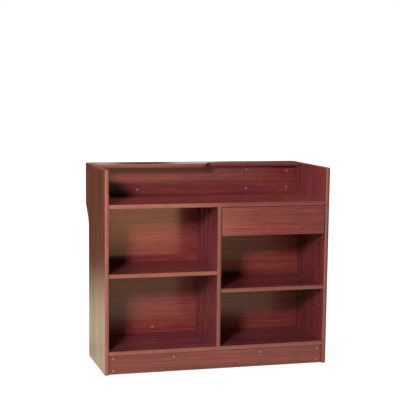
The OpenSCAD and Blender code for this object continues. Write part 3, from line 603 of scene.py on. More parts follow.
def plated_metal(name, colour, rough, cells):
    """Zinc-plated or cast metal with a cloudy surface and fine scratches."""
    f = Finish(name)
    cloud = f.noise(f.place(cells), detail=4, roughness=0.6, distortion=0.5)
    scratches = f.noise(f.place((cells * 18, cells * 18, cells * 2)), detail=2, roughness=0.6)
    marks = f.math("ADD", f.math("MULTIPLY", cloud, 0.6), f.math("MULTIPLY", scratches, 0.4))
    f.shader.inputs["Metallic"].default_value = 1.0
    tint = f.shades(cloud, colour, 0.82, 1.08)
    polish = f.spread(marks, rough - 0.1, rough + 0.12)
    return f.finish(tint, polish, scratches, strength=0.06, depth=0.1 * MM)


def runner_paint(name, look):
    """Baked enamel of the runners, faintly orange-peeled, with rubbed tracks."""
    f = Finish(name)
    peel = f.noise(f.place(650), detail=2, roughness=0.5)
    rubbed = f.noise(f.place((160, 6, 160)), detail=4, roughness=0.7)
    colour = f.shades(rubbed, look.enamel, 1.0, 0.78, start=0.42, end=0.72)
    return f.finish(colour, f.spread(rubbed, 0.26, 0.42), peel, strength=0.08, depth=0.1 * MM)


def roller_nylon(name, look):
    """Milky nylon of the rollers and glides, with fine mould texture."""
    f = Finish(name)
    cloud = f.noise(f.place(90), detail=3, roughness=0.5)
    grit = f.noise(f.place(1600), detail=2, roughness=0.6)
    f.shader.inputs["IOR"].default_value = 1.53
    f.shader.inputs["Subsurface Weight"].default_value = 0.15
    f.shader.inputs["Subsurface Radius"].default_value = (2 * MM, 2 * MM, 2 * MM)
    colour = f.shades(cloud, look.nylon, 0.92, 1.04)
    return f.finish(colour, f.spread(cloud, 0.34, 0.46), grit, strength=0.05, depth=0.1 * MM)


# Sizes and colours that a user would change

COLOUR = {"subtype": "COLOR", "min": 0, "max": 1}


class CounterLook(bpy.types.PropertyGroup):
    """Colours, grain and gloss of the finishes"""

    laminate_dark: FloatVectorProperty(
        name="Laminate dark", description="Darkest grain of the laminate",
        default=(0.090, 0.0120, 0.0180), **COLOUR)
    laminate_red: FloatVectorProperty(
        name="Laminate red", description="Main colour of the laminate",
        default=(0.196, 0.0320, 0.0350), **COLOUR)
    laminate_light: FloatVectorProperty(
        name="Laminate light", description="Lightest grain of the laminate",
        default=(0.330, 0.0650, 0.0510), **COLOUR)
    laminate_brown: FloatVectorProperty(
        name="Laminate brown", description="Brown bands of the laminate",
        default=(0.150, 0.0460, 0.0280), **COLOUR)
    laminate_pore: FloatVectorProperty(
        name="Laminate pores", description="Printed pores of the laminate",
        default=(0.075, 0.0105, 0.0130), **COLOUR)
    band_width: FloatProperty(
        name="Band width", description="Width of the grain's broad bands", default=17 * MM,
        min=5 * MM, unit="LENGTH")
    streak_width: FloatProperty(
        name="Streak width", description="Width of the grain's streaks", default=4.5 * MM,
        min=1 * MM, unit="LENGTH")
    patch_width: FloatProperty(
        name="Patch width", description="Width of the grain's broad patches", default=70 * MM,
        min=10 * MM, unit="LENGTH")
    pore_width: FloatProperty(
        name="Pore width", description="Width of the printed pores", default=1.1 * MM,
        min=0.2 * MM, unit="LENGTH")
    hue_share: FloatProperty(
        name="Hue of the bands", description="How far bands lean in hue beside their brightness",
        default=0.55, min=0, max=1.5, subtype="FACTOR")
    flat_swing: FloatProperty(
        name="Lying boards' bands", description="How far the broad bands of lying boards lean",
        default=0.36, min=0, max=0.6, subtype="FACTOR")
    back_swing: FloatProperty(
        name="Backs' bands", description="How far the broad bands of backs and fronts lean",
        default=0.09, min=0, max=0.5, subtype="FACTOR")
    upright_swing: FloatProperty(
        name="Upright boards' bands", description="How far the broad bands of sides lean",
        default=0.20, min=0, max=0.5, subtype="FACTOR")
    upright_grain: FloatProperty(
        name="Upright boards' grain", description="How much coarser the grain of sides is",
        default=2.6, min=1, max=6, subtype="FACTOR")
    lying_grain: FloatProperty(
        name="Lying boards' grain", description="How much coarser the grain of tops is",
        default=3.2, min=1, max=6, subtype="FACTOR")
    gloss: FloatProperty(
        name="Laminate roughness", description="Roughness of the laminate",
        default=0.20, min=0.05, max=1, subtype="FACTOR")
    moulding: FloatVectorProperty(
        name="Moulding", description="Colour of the edge moulding",
        default=(0.290, 0.092, 0.064), **COLOUR)
    cap: FloatVectorProperty(
        name="Cover caps", description="Colour of the cover caps",
        default=(0.30, 0.125, 0.105), **COLOUR)
    chipboard: FloatVectorProperty(
        name="Chipboard", description="Colour of the raw board in bores and on sawn edges",
        default=(0.60, 0.46, 0.31), **COLOUR)
    box_board: FloatVectorProperty(
        name="Box board", description="Colour of the drawer box",
        default=(0.50, 0.34, 0.19), **COLOUR)
    hardboard: FloatVectorProperty(
        name="Hardboard", description="Colour of the drawer bottom",
        default=(0.16, 0.075, 0.035), **COLOUR)
    beech: FloatVectorProperty(
        name="Beech", description="Colour of the wooden dowels",
        default=(0.56, 0.36, 0.19), **COLOUR)
    enamel: FloatVectorProperty(
        name="Runner enamel", description="Colour of the runners",
        default=(0.74, 0.72, 0.68), **COLOUR)
    nylon: FloatVectorProperty(
        name="Nylon", description="Colour of the rollers and glides",
        default=(0.76, 0.75, 0.70), **COLOUR)
    zinc: FloatVectorProperty(
        name="Zinc", description="Colour of the plated steel and the cam locks",
        default=(0.62, 0.63, 0.66), **COLOUR)


class CounterFittings(bpy.types.PropertyGroup):
    """Sizes of the small fittings"""

    cap_round: FloatProperty(
        name="Cap rounding", description="Rounding of a cover cap's rim", default=0.5 * MM,
        min=0.1 * MM, unit="LENGTH")
    cap_rim: FloatProperty(
        name="Cap rim", description="Width of the raised rim of a cover cap", default=1.6 * MM,
        min=0.5 * MM, unit="LENGTH")
    cap_dish: FloatProperty(
        name="Cap dish", description="Depth of the dished middle of a cover cap", default=0.3 * MM,
        min=0, unit="LENGTH")
    cap_plug: FloatProperty(
        name="Cap plug", description="Length of the plug behind a cover cap", default=1.0 * MM,
        min=0.2 * MM, unit="LENGTH")
    recess: FloatProperty(
        name="Cross recess", description="Width of a screw's cross recess, as a share of its head",
        default=0.24, min=0.1, max=0.4, subtype="FACTOR")
    thread_pitch: FloatProperty(
        name="Thread pitch", description="Distance between the ridges of a screw", default=1.8 * MM,
        min=0.8 * MM, unit="LENGTH")
    roller_rim: FloatProperty(
        name="Roller rim", description="Width of a roller's tyre", default=2.2 * MM,
        min=1 * MM, unit="LENGTH")
    roller_hub: FloatProperty(
        name="Roller hub", description="Outside radius of a roller's hub", default=5.4 * MM,
        min=3.5 * MM, unit="LENGTH")
    roller_web: FloatProperty(
        name="Roller web recess", description="Depth of the recess beside a roller's web",
        default=1.4 * MM, min=0.2 * MM, unit="LENGTH")
    pin_lug: FloatProperty(
        name="Pin lug", description="Length of the lug that carries the shelf", default=9 * MM,
        min=5 * MM, unit="LENGTH")
    pin_lug_t: FloatProperty(
        name="Pin lug thickness", description="Thickness of that lug", default=1.6 * MM,
        min=1 * MM, unit="LENGTH")
    nail_r: FloatProperty(
        name="Glide nail", description="Radius of a glide's nail", default=1.2 * MM,
        min=0.5 * MM, unit="LENGTH")
    rounds: IntProperty(
        name="Sides of round parts", description="Sides of caps, rollers and glides", default=48,
        min=16, max=96)


class CounterStudio(bpy.types.PropertyGroup):
    """Camera, lights and what shiny faces mirror"""

    eye: FloatVectorProperty(
        name="Camera", description="Place of the camera", default=(-1.7195, -5.8926, 1.5017),
        subtype="TRANSLATION", unit="LENGTH")
    yaw: FloatProperty(
        name="Yaw", description="Turn of the camera to the right", subtype="ANGLE",
        default=math.radians(16.0))
    pitch: FloatProperty(
        name="Pitch", description="Tilt of the camera below the horizon", subtype="ANGLE",
        default=math.radians(8.09))
    roll: FloatProperty(
        name="Roll", description="Roll of the camera", subtype="ANGLE",
        default=math.radians(0.642))
    angle: FloatProperty(
        name="View angle", description="Angle across the square picture", subtype="ANGLE",
        default=math.radians(19.9622))
    rise: FloatProperty(
        name="Lens rise", description="Vertical shift of the lens", default=0.1125, subtype="FACTOR")
    key_power: FloatProperty(
        name="Key light", description="Power of the softbox at the left", subtype="POWER",
        default=208)
    key_tint: FloatVectorProperty(
        name="Key tint", description="Colour of the softbox", default=(1.0, 1.0, 1.0), **COLOUR)
    key_size: FloatProperty(
        name="Key size", description="Side of the softbox", default=0.7, min=0.1, unit="LENGTH")
    side_power: FloatProperty(
        name="Side light", description="Power of the softbox over the left side", subtype="POWER",
        default=33)
    top_power: FloatProperty(
        name="Top light", description="Power of the softbox overhead", subtype="POWER", default=42)
    fill_power: FloatProperty(
        name="Fill light", description="Power of the low panel at the right", subtype="POWER",
        default=17)
    fill_tint: FloatVectorProperty(
        name="Fill tint", description="Colour of the low panel", default=(1.0, 0.46, 0.22), **COLOUR)
    high_power: FloatProperty(
        name="High fill", description="Power of the panel over the low one", subtype="POWER",
        default=2)
    rear_power: FloatProperty(
        name="Rear light", description="Power of the panel behind the counter", subtype="POWER",
        default=60)
    ambient: FloatProperty(
        name="Room light", description="Strength of the even light of the room", default=0.02, min=0)
    front_sheen: FloatVectorProperty(
        name="Sheen in front", description="What shiny faces mirror towards the clerk",
        default=(0.04, 0.045, 0.05), **COLOUR)
    back_sheen: FloatVectorProperty(
        name="Sheen behind", description="What shiny faces mirror behind the counter",
        default=(0.02, 0.025, 0.01), **COLOUR)
    back_glow: FloatVectorProperty(
        name="Glow from the back", description="What they mirror of the bright walls at the back",
        default=(0.80, 0.72, 0.70), **COLOUR)
    floor_sheen: FloatVectorProperty(
        name="Sheen of the floor", description="What shiny faces mirror of the floor nearby",
        default=(1.0, 0.96, 0.66), **COLOUR)
    far_sheen: FloatVectorProperty(
        name="Sheen of the far floor", description="What shiny faces mirror of the floor far away",
        default=(0.055, 0.075, 0.03), **COLOUR)
    right_sheen: FloatVectorProperty(
        name="Sheen at the right", description="What they mirror of the floor far to the right",
        default=(0.50, 0.52, 0.48), **COLOUR)
    rear_floor_sheen: FloatVectorProperty(
        name="Sheen of the rear floor", description="What they mirror of the floor behind, nearby",
        default=(0.35, 0.35, 0.35), **COLOUR)
    rear_far_sheen: FloatVectorProperty(
        name="Sheen of the far rear floor", description="What they mirror of the floor far behind",
        default=(0.06, 0.06, 0.06), **COLOUR)


def settings():
    scene = bpy.context.scene
    return scene.counter_look, scene.counter_fittings, scene.counter_studio


# Boards, mouldings, runners and joinery, which are the imported model's own nodes

# Painted light and shade: each board's tint with the grain along X, as shares of red, green and blue
LAMINATE_SHADE_TINTS_ACROSS = {
    "work_top": (1.04, 1.15, 1.0), "base_deck": (0.90, 1.0, 1.35),
    "front_kick_plate": (1.05, 1.12, 1.0), "rear_kick_plate": (1.05, 1.12, 1.0),
    "lower_back": (1.10, 1.0, 0.95), "upper_back": (1.02, 0.90, 0.95), "ledge": (1.0, 1.0, 1.0),
    "left_shelf": (0.98, 1.1, 1.3), "right_shelf": (0.90, 0.90, 1.1),
    "drawer_front": (1.0, 0.98, 0.92),
}
LYING = ("work_top", "base_deck", "ledge", "left_shelf", "right_shelf")
# The painted light and shade tint of each upright board, and how much further than the others its
# bands lean
UPRIGHT_SHADE_TINTS_AND_SWINGS = {
    "left_side_panel": ((1.0, 1.06, 0.92), 1.7), "right_side_panel": ((0.94, 0.87, 0.97), 0.8),
    "divider": ((0.98, 1.06, 1.25), 1.2),
}
# How far each board's piece of the print lies from the one before, so that no two are alike
STEP_ACROSS = Vector((0.37, 5.1, 3.3))
STEP_UPRIGHT = Vector((4.7, 2.9, 0.61))
# Each moulding's level at its left and right, which is painted light and shade on the edge
MOULDING_SHADE_LEVELS = {
    "left_side_edging": (0.96, 0.96), "right_side_edging": (0.78, 0.78),
    "divider_edging": (0.74, 0.74), "work_top_edging": (1.10, 0.78),
    "base_deck_edging": (0.92, 0.92), "ledge_edging": (0.94, 0.66),
    "left_shelf_edging": (1.0, 1.0), "right_shelf_edging": (0.85, 0.85),
    "drawer_front_edging": (0.80, 0.80),
}
BOX_BOARDS = ("drawer_inner_front", "drawer_left_side", "drawer_right_side", "drawer_rear")
RUNNERS = (
    "left_cabinet_runner", "right_cabinet_runner", "left_drawer_runner", "right_drawer_runner",
)


class COUNTER_OT_laminate(bpy.types.Operator):
    """Gives every laminate board its woodgrain, along the way its grain runs, tinted with painted
    light and shade
    """

    bl_idname = "counter.laminate"
    bl_label = "Laminate Boards"

    def execute(self, context):
        look, _, _ = settings()
        for i, (node, tint) in enumerate(LAMINATE_SHADE_TINTS_ACROSS.items()):
            face, swing = ("Z", look.flat_swing) if node in LYING else ("Y", look.back_swing)
            shift = tuple(STEP_ACROSS * i)
            dress(node, woodgrain(f"laminate_{node}", "X", face, shift, look, tint, swing))
        for i, (node, (tint, share)) in enumerate(UPRIGHT_SHADE_TINTS_AND_SWINGS.items()):
            shift, swing = tuple(STEP_UPRIGHT * i), look.upright_swing * share
            dress(node, woodgrain(f"laminate_{node}", "Z", "X", shift, look, tint, swing))
        return {"FINISHED"}


class COUNTER_OT_mouldings(bpy.types.Operator):
    """Gives the edge mouldings their pinkish plastic, with painted light and shade levels"""

    bl_idname = "counter.mouldings"
    bl_label = "Edge Mouldings"

    def execute(self, context):
        look, _, _ = settings()
        for node, (left, right) in MOULDING_SHADE_LEVELS.items():
            dress(node, moulding_plastic(f"moulding_{node}", look, left, right))
        return {"FINISHED"}


class COUNTER_OT_drawer_box(bpy.types.Operator):
    """Gives the drawer box its plain board and its bottom the hardboard"""

    bl_idname = "counter.drawer_box"
    bl_label = "Drawer Box"

    def execute(self, context):
        look, _, _ = settings()
        board = plain_board("box_board", look)
        for node in BOX_BOARDS:
            dress(node, board)
        dress("drawer_bottom", fibre_board("drawer_hardboard", look))
        return {"FINISHED"}


class COUNTER_OT_runners(bpy.types.Operator):
    """Gives the runners their baked enamel"""

    bl_idname = "counter.runners"
    bl_label = "Drawer Runners"

    def execute(self, context):
        look, _, _ = settings()
        paint = runner_paint("runner_enamel", look)
        for node in RUNNERS:
            dress(node, paint)
        return {"FINISHED"}


class COUNTER_OT_joinery(bpy.types.Operator):
    """Finishes the hidden joinery: cam locks, cam bolts and wooden dowels"""

    bl_idname = "counter.joinery"
    bl_label = "Cam Locks, Bolts and Dowels"

    def execute(self, context):
        look, _, _ = settings()
        cast = plated_metal("cast_zinc", look.zinc, rough=0.42, cells=140)
        plated = plated_metal("bright_zinc", look.zinc, rough=0.26, cells=220)
        for place in ("back", "kick", "deck"):
            dress(f"{place}_cam_locks", cast)
            dress(f"{place}_cam_bolts", plated)
        dress("wood_dowels", bare_beech("dowel_beech", look))
        return {"FINISHED"}


# Fittings that are modelled here

CAPS = (
    ("back_cam_caps", "back_cover_caps"),
    ("kick_cam_caps", "kick_plate_cover_caps"),
    ("deck_cam_caps", "deck_cover_caps"),
)


class COUNTER_OT_cover_caps(bpy.types.Operator):
    """Models one cover cap and copies it over every cam lock"""

    bl_idname = "counter.cover_caps"
    bl_label = "Cover Caps"

    def execute(self, context):
        look, sizes, _ = settings()
        finish = cap_plastic("cover_cap", look)
        first = solids("back_cam_caps")[0]
        low, high = corners(first)
        middle = (low + high) / 2
        axis = short_axis(first)
        u, v = [i for i in range(3) if i != axis]
        radius = (high[u] - low[u]) / 2
        height = high[axis] - low[axis] - sizes.cap_plug
        back = [p for p in first if p[axis] > high[axis] - NEAR]
        plug_r = max(math.hypot(p[u] - middle[u], p[v] - middle[v]) for p in back)
        rim_r = radius - sizes.cap_rim
        slope = 0.4 * MM
        crown_r = 2.0 * MM
        crown_rise = 0.6 * sizes.cap_dish

        cap = rod("cover_cap", radius, height, height / 2, sizes.rounds)
        pick_faces(cap, facing_up)
        step_in(sizes.cap_rim)
        pull(-sizes.cap_dish)
        step_in(slope)
        step_in(rim_r - slope - crown_r)
        bpy.ops.transform.translate(value=(0, 0, crown_rise))
        pick_faces(cap, facing_down)
        step_in(radius - plug_r)
        pull(-sizes.cap_plug)
        soften(cap, radius, height, sizes.cap_round, 4)
        soften(cap, rim_r, height, 0.2 * MM, 2)
        close(cap)

        for node, name in CAPS:
            places = []
            for points in solids(node):
                low, high = corners(points)
                axis = short_axis(points)
                # Caps on a face across X look right, across Y to the clerk, and across Z down
                out = Vector((0, 0, 0))
                out[axis] = 1 if axis == 0 else -1
                seat = (low + high) / 2
                seat[axis] = high[axis] - height if axis == 0 else low[axis] + height
                places.append((seat, out))
            hand_over(repeat(cap, places, name), "cabinet", node, finish)
        bpy.data.objects.remove(cap)
        return {"FINISHED"}


SCREWS = (
    ("drawer_corner_screws", "box_corner_screws", "drawer"),
    ("drawer_front_screws", "front_holding_screws", "drawer"),
    ("cabinet_runner_screws", "case_runner_screws", "cabinet"),
    ("drawer_runner_screws", "box_runner_screws", "drawer"),
)


def model_screw(part, sizes):
    """A pan-head screw: the seat at Z 0, the head above it and the threaded shank below."""
    head_r, head_l, shank_r, length = (part[k] for k in ("head_r", "head_l", "shank_r", "length"))
    root_r = shank_r * 0.78
    point_l = shank_r * 2.5
    flank, crest = 0.35 * sizes.thread_pitch, 0.30 * sizes.thread_pitch

    screw = rod("screw", head_r, head_l, head_l / 2, 24)
    pick_faces(screw, facing_down)
    step_in(head_r - root_r)
    z = 0.0
    for _ in range(max(1, int((length - point_l) / sizes.thread_pitch))):
        pull(-flank)
        pull(-crest)
        widen(shank_r / root_r, z)
        pull(-flank)
        widen(root_r / shank_r, z)
        z -= sizes.thread_pitch
    rest = length + z
    pull(-rest * 0.4)
    pull(-rest * 0.6)
    widen(0.12, z)
    soften(screw, head_r, head_l, min(head_l * 0.75, 0.8 * MM), 4)
    close(screw)

    slot = (head_r * 1.15, head_r * sizes.recess, head_l * 1.3)
    for turn in (0, 90):
        cutter = block("recess", slot, (0, 0, head_l))
        cutter.rotation_euler = Euler((0, 0, math.radians(turn)))
        take(screw)
        cut = screw.modifiers.new("recess", "BOOLEAN")
        cut.operation = "DIFFERENCE"
        cut.object = cutter
        bpy.ops.object.modifier_apply(modifier=cut.name)
        bpy.data.objects.remove(cutter)
    take(screw)
    bpy.ops.object.shade_smooth_by_angle(angle=SMOOTH_BELOW)
    return screw


class COUNTER_OT_screws(bpy.types.Operator):
    """Models the screws of the drawer box, the drawer front and the runners"""

    bl_idname = "counter.screws"
    bl_label = "Screws"

    def execute(self, context):
        look, sizes, _ = settings()
        finish = plated_metal("screw_zinc", look.zinc, rough=0.28, cells=260)
        for node, name, body in SCREWS:
            parts = [turned_part(points, long_axis(points)) for points in solids(node)]
            screw = model_screw(parts[0], sizes)
            places = [(part["seat"], -part["into"]) for part in parts]
            hand_over(repeat(screw, places, name), body, node, finish)
            bpy.data.objects.remove(screw)
        return {"FINISHED"}


ROLLERS = ("left_front_roller", "right_front_roller", "left_rear_roller", "right_rear_roller")


class COUNTER_OT_rollers(bpy.types.Operator):
    """Models one runner roller with tyre, web and hub, and copies it to the four places"""

    bl_idname = "counter.rollers"
    bl_label = "Runner Rollers"

    def execute(self, context):
        look, sizes, _ = settings()
        finish = roller_nylon("roller_nylon", look)
        low, high = (Vector(corner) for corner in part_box(ROLLERS[0]))
        middle = (low + high) / 2
        radius = (high.z - low.z) / 2
        width = high.x - low.x
        bore = min(math.hypot(p.y - middle.y, p.z - middle.z) for p in solids(ROLLERS[0])[0])
        tread_r = radius - sizes.roller_rim
        hub_back = 0.2 * MM

        roller = rod("roller", radius, width, 0, sizes.rounds)
        for side in (1, -1):
            pick_faces(roller, lambda c, n: n.z * side > LEVEL and c.z * side > width / 2 - NEAR)
            step_in(sizes.roller_rim)
            pull(-side * sizes.roller_web)
            step_in(tread_r - sizes.roller_hub)
            pull(side * (sizes.roller_web - hub_back))
            step_in(sizes.roller_hub - bore)
        pick_faces(roller, lambda c, n: abs(n.z) > LEVEL and math.hypot(c.x, c.y) < NEAR)
        bpy.ops.mesh.delete(type="FACE")
        pick_edges(roller, ring(bore))
        bpy.ops.mesh.bridge_edge_loops()
        for side in (1, -1):
            soften(roller, radius, side * width / 2, 0.6 * MM, 4)
            soften(roller, tread_r, side * width / 2, 0.25 * MM, 2)
        close(roller)

        for name in ROLLERS:
            low, high = (Vector(corner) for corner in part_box(name))
            made = repeat(roller, [((low + high) / 2, Vector((1, 0, 0)))], f"{name}_wheel")
            hand_over(made, name, name, finish)
        bpy.data.objects.remove(roller)
        return {"FINISHED"}


AXLES = (
    ("front_roller_axles", "front_roller_rivets", "cabinet"),
    ("rear_roller_axles", "rear_roller_rivets", "drawer"),
)


def model_axle(part):
    """A riveted axle: the seat at Z 0, the domed head above it and the shank below."""
    head_r, head_l, shank_r, length = (part[k] for k in ("head_r", "head_l", "shank_r", "length"))
    axle = rod("axle", shank_r, length, -length / 2, 32)
    pick_faces(axle, facing_up)
    flare(shank_r, head_r)
    pull(head_l * 0.4)
    pull(head_l * 0.6)
    widen(0.72)
    soften(axle, shank_r, -length, 0.3 * MM, 2)
    close(axle)
    return axle


class COUNTER_OT_axles(bpy.types.Operator):
    """Models the riveted roller axles with their domed heads"""

    bl_idname = "counter.axles"
    bl_label = "Roller Axles"

    def execute(self, context):
        look, _, _ = settings()
        finish = plated_metal("axle_zinc", look.zinc, rough=0.24, cells=300)
        for node, name, body in AXLES:
            made = []
            for points in solids(node):
                part = turned_part(points, 0)
                made.append(model_axle(part))
                stand(made[-1], part["seat"], -part["into"])
            hand_over(gather(made, name), body, node, finish)
        return {"FINISHED"}


# Height of a shelf pin's flat top over the middle of its stem
PIN_TOP = 4.0 * MM
PINS = (("left_shelf_pins", "left_bay_pins"), ("right_shelf_pins", "right_bay_pins"))


def model_shelf_pin(points, sizes):
    """A shelf pin: the wall at Z 0, the stem below it, and above it the lug, flat towards +Y."""
    low, high = corners(points)
    lug_w, lug_l, lug_t = high.y - low.y, sizes.pin_lug, sizes.pin_lug_t
    stem_r, stem_l = 2.45 * MM, high.x - low.x - lug_l
    collar_r, collar_l = high.z - low.z - PIN_TOP, 1.2 * MM
    tip_l = 0.8 * MM

    pin = rod("shelf_pin", stem_r, stem_l, -stem_l / 2, 32)
    pick_faces(pin, facing_up)
    flare(stem_r, collar_r)
    pull(collar_l)
    step_in(collar_r - stem_r)
    pull(lug_l - collar_l - tip_l)
    pull(tip_l)
    widen(0.7)
    soften(pin, stem_r, -stem_l, 0.6 * MM, 3)
    soften(pin, collar_r, collar_l, 0.35 * MM, 2)
    close(pin)

    lug = block("pin_lug", (lug_w, lug_t, lug_l), (0, PIN_TOP - lug_t / 2, lug_l / 2))
    pick_edges(lug, lambda a, b: min(a.z, b.z) > lug_l - NEAR and abs(a.x - b.x) < NEAR)
    round_off(2.2 * MM, 5)
    pick_edges(lug, lambda a, b: min(a.y, b.y) > PIN_TOP - NEAR)
    round_off(0.3 * MM, 2)
    close(lug)

    # The web under the lug runs from full height at the wall to a low toe
    web_h, web_l, toe = PIN_TOP - lug_t * 0.8, lug_l - 0.4 * MM, 0.6 * MM
    web = block("pin_web", (lug_t, web_h, web_l), (0, (PIN_TOP - lug_t) / 2, lug_l / 2))
    pick_edges(web, lambda a, b: min(a.z, b.z) > lug_l / 2 and max(a.y, b.y) < 1 * MM)
    bpy.ops.transform.translate(value=(0, PIN_TOP - lug_t - toe, 0))
    close(web)
    return gather([pin, lug, web], "shelf_pin")


class COUNTER_OT_shelf_pins(bpy.types.Operator):
    """Models one shelf pin with stem, collar, lug and web, and copies it under both shelves"""

    bl_idname = "counter.shelf_pins"
    bl_label = "Shelf Pins"

    def execute(self, context):
        look, sizes, _ = settings()
        finish = plated_metal("pin_zinc", look.zinc, rough=0.26, cells=240)
        pin = model_shelf_pin(solids("left_shelf_pins")[0], sizes)
        for node, name in PINS:
            boxes = [corners(points) for points in solids(node)]
            middle = sum((low.x + high.x) / 2 for low, high in boxes) / len(boxes)
            made = []
            for low, high in boxes:
                # The model's Z runs out of the wall into the bay, and its Y is up
                at_right = (low.x + high.x) / 2 > middle
                bay = Vector((-1 if at_right else 1, 0, 0))
                turn = Matrix((UP.cross(bay), UP, bay)).transposed()
                wall = low.x + sizes.pin_lug if at_right else high.x - sizes.pin_lug
                made.append(copy_of(pin))
                put(made[-1], (wall, (low.y + high.y) / 2, high.z - PIN_TOP), turn)
            hand_over(gather(made, name), "cabinet", node, finish)
        bpy.data.objects.remove(pin)
        return {"FINISHED"}


class COUNTER_OT_floor_glides(bpy.types.Operator):
    """Models one nail-on floor glide and copies it under the side panels"""

    bl_idname = "counter.floor_glides"
    bl_label = "Floor Glides"

    def execute(self, context):
        look, sizes, _ = settings()
        found = solids("floor_glides")
        low, high = corners(found[0])
        middle = (low + high) / 2
        radius = (high.x - low.x) / 2
        rim = [p.z for p in found[0] if math.hypot(p.x - middle.x, p.y - middle.y) > radius * 0.9]
        foot = min(z for z in rim if z > low.z + 0.1 * MM)
        point_l = 3 * MM

        glide = rod("floor_glide", radius, foot, foot / 2, sizes.rounds)
        pick_faces(glide, facing_up)
        step_in(radius - sizes.nail_r)
        pull(high.z - foot - point_l)
        pull(point_l)
        widen(0.15)
        soften(glide, radius, 0, 1.0 * MM, 4)
        close(glide)

        places = []
        for points in found:
            low, high = corners(points)
            places.append((Vector(((low.x + high.x) / 2, (low.y + high.y) / 2, low.z)), UP))
        made = repeat(glide, places, "nailed_floor_glides")
        bpy.data.objects.remove(glide)
        hand_over(made, "cabinet", "floor_glides", roller_nylon("glide_nylon", look))
        return {"FINISHED"}


# Studio

# Zones of the floor: each comes in softly from its first number to its second, in metres
FAR_AWAY = (1.1, 4.0)
BEHIND_Y = (0.1, 0.4)
BEHIND_X = (-0.75, -0.55)
FAR_RIGHT_X = (1.2, 2.8)
# To the camera the floor turns from shadowed to plain white between these distances
SHADOWS_END = (1.0, 2.2)
# Reflections this far towards the clerk see the front of the room, as the sine of the angle
ROOM_FRONT = (-0.2, -0.8)
# Bright walls of the room behind the counter: where each begins and ends, as the sine of the
# angle from +Y towards +X, and its share of the full glow
REAR_WALLS = [(0.187, 0.198, 1.0), (0.252, 0.283, 1.0), (0.300, 0.330, 0.2), (0.358, 0.420, 0.5)]
WALL_FADE = 0.008
REAR_FROM, REAR_TO = 0.15, 0.45


def lay_floor(studio):
    """A pale floor: white round the counter's shadow, and in gloss darker the further away."""
    clear()
    bpy.ops.mesh.primitive_plane_add(size=60, location=(0, 0, 0))
    floor = rename("studio_floor")
    f = Finish("studio_floor")
    f.shader.inputs["Base Color"].default_value = grey(0.86)
    f.shader.inputs["Roughness"].default_value = 0.9
    path = f.add("ShaderNodeLightPath").outputs
    spot = f.place(1)
    x, y, _ = f.split(spot)
    reach = f.add("ShaderNodeVectorMath", {0: spot}, operation="LENGTH").outputs["Value"]

    behind = f.math("MULTIPLY", f.fade(y, *BEHIND_Y), f.fade(x, *BEHIND_X))
    near = f.mix(behind, rgba(studio.floor_sheen), rgba(studio.rear_floor_sheen))
    far = f.mix(f.fade(x, *FAR_RIGHT_X), rgba(studio.far_sheen), rgba(studio.right_sheen))
    far = f.mix(behind, far, rgba(studio.rear_far_sheen))
    mirrored = f.mix(f.fade(reach, *FAR_AWAY), near, far)
    glow = f.add("ShaderNodeEmission", {
        "Color": f.mix(path["Is Glossy Ray"], WHITE, mirrored),
        "Strength": f.spread(path["Is Camera Ray"], 1.0, 1.18),
    })
    plain = f.spread(reach, 0.8, 1.0, *SHADOWS_END)
    shown = f.shown(path, f.math("MULTIPLY", path["Is Camera Ray"], plain))
    surface = f.blend(shown, f.shader.outputs[0], glow.outputs[0])
    f.feed(f.tree.nodes["Material Output"].inputs["Surface"], surface)
    floor.data.materials.append(f.material)


def hang_lamps(studio):
    """Soft rectangular lights, placed so that shadows and sheen fall as in the picture."""
    counter = Vector((0.0, 0.0, 0.6))
    bays = Vector((0.1, 0, 0.55))
    key = counter + Vector((-0.62, -1.0, 0.42)).normalized() * 5.0
    key_sides = (studio.key_size, studio.key_size)
    plain = (1, 1, 1)
    for name, place, target, power, sides, tint in (
        ("key_softbox", key, counter, studio.key_power, key_sides, studio.key_tint),
        ("side_softbox", (-3.2, -0.6, 2.3), counter, studio.side_power, (0.8, 0.8), plain),
        ("top_softbox", (0, 0.3, 4.0), counter, studio.top_power, (1.5, 1.5), plain),
        ("low_panel", (0.9, -5.2, 0.15), bays, studio.fill_power, (1.4, 0.25), studio.fill_tint),
        ("high_panel", (0.0, -6.9, 0.9), bays, studio.high_power, (2.0, 1.3), plain),
        ("rear_panel", (1.0, 4.8, 0.7), bays, studio.rear_power, (2.4, 0.8), plain),
    ):
        clear()
        bpy.ops.object.light_add(type="AREA", location=place)
        lamp = bpy.context.object
        lamp.name = name
        lamp.rotation_euler = (target - Vector(place)).to_track_quat("-Z", "Y").to_euler()
        lamp.visible_camera = False
        lamp.data.shape = "RECTANGLE"
        lamp.data.size, lamp.data.size_y = sides
        lamp.data.energy = power
        lamp.data.color = tint


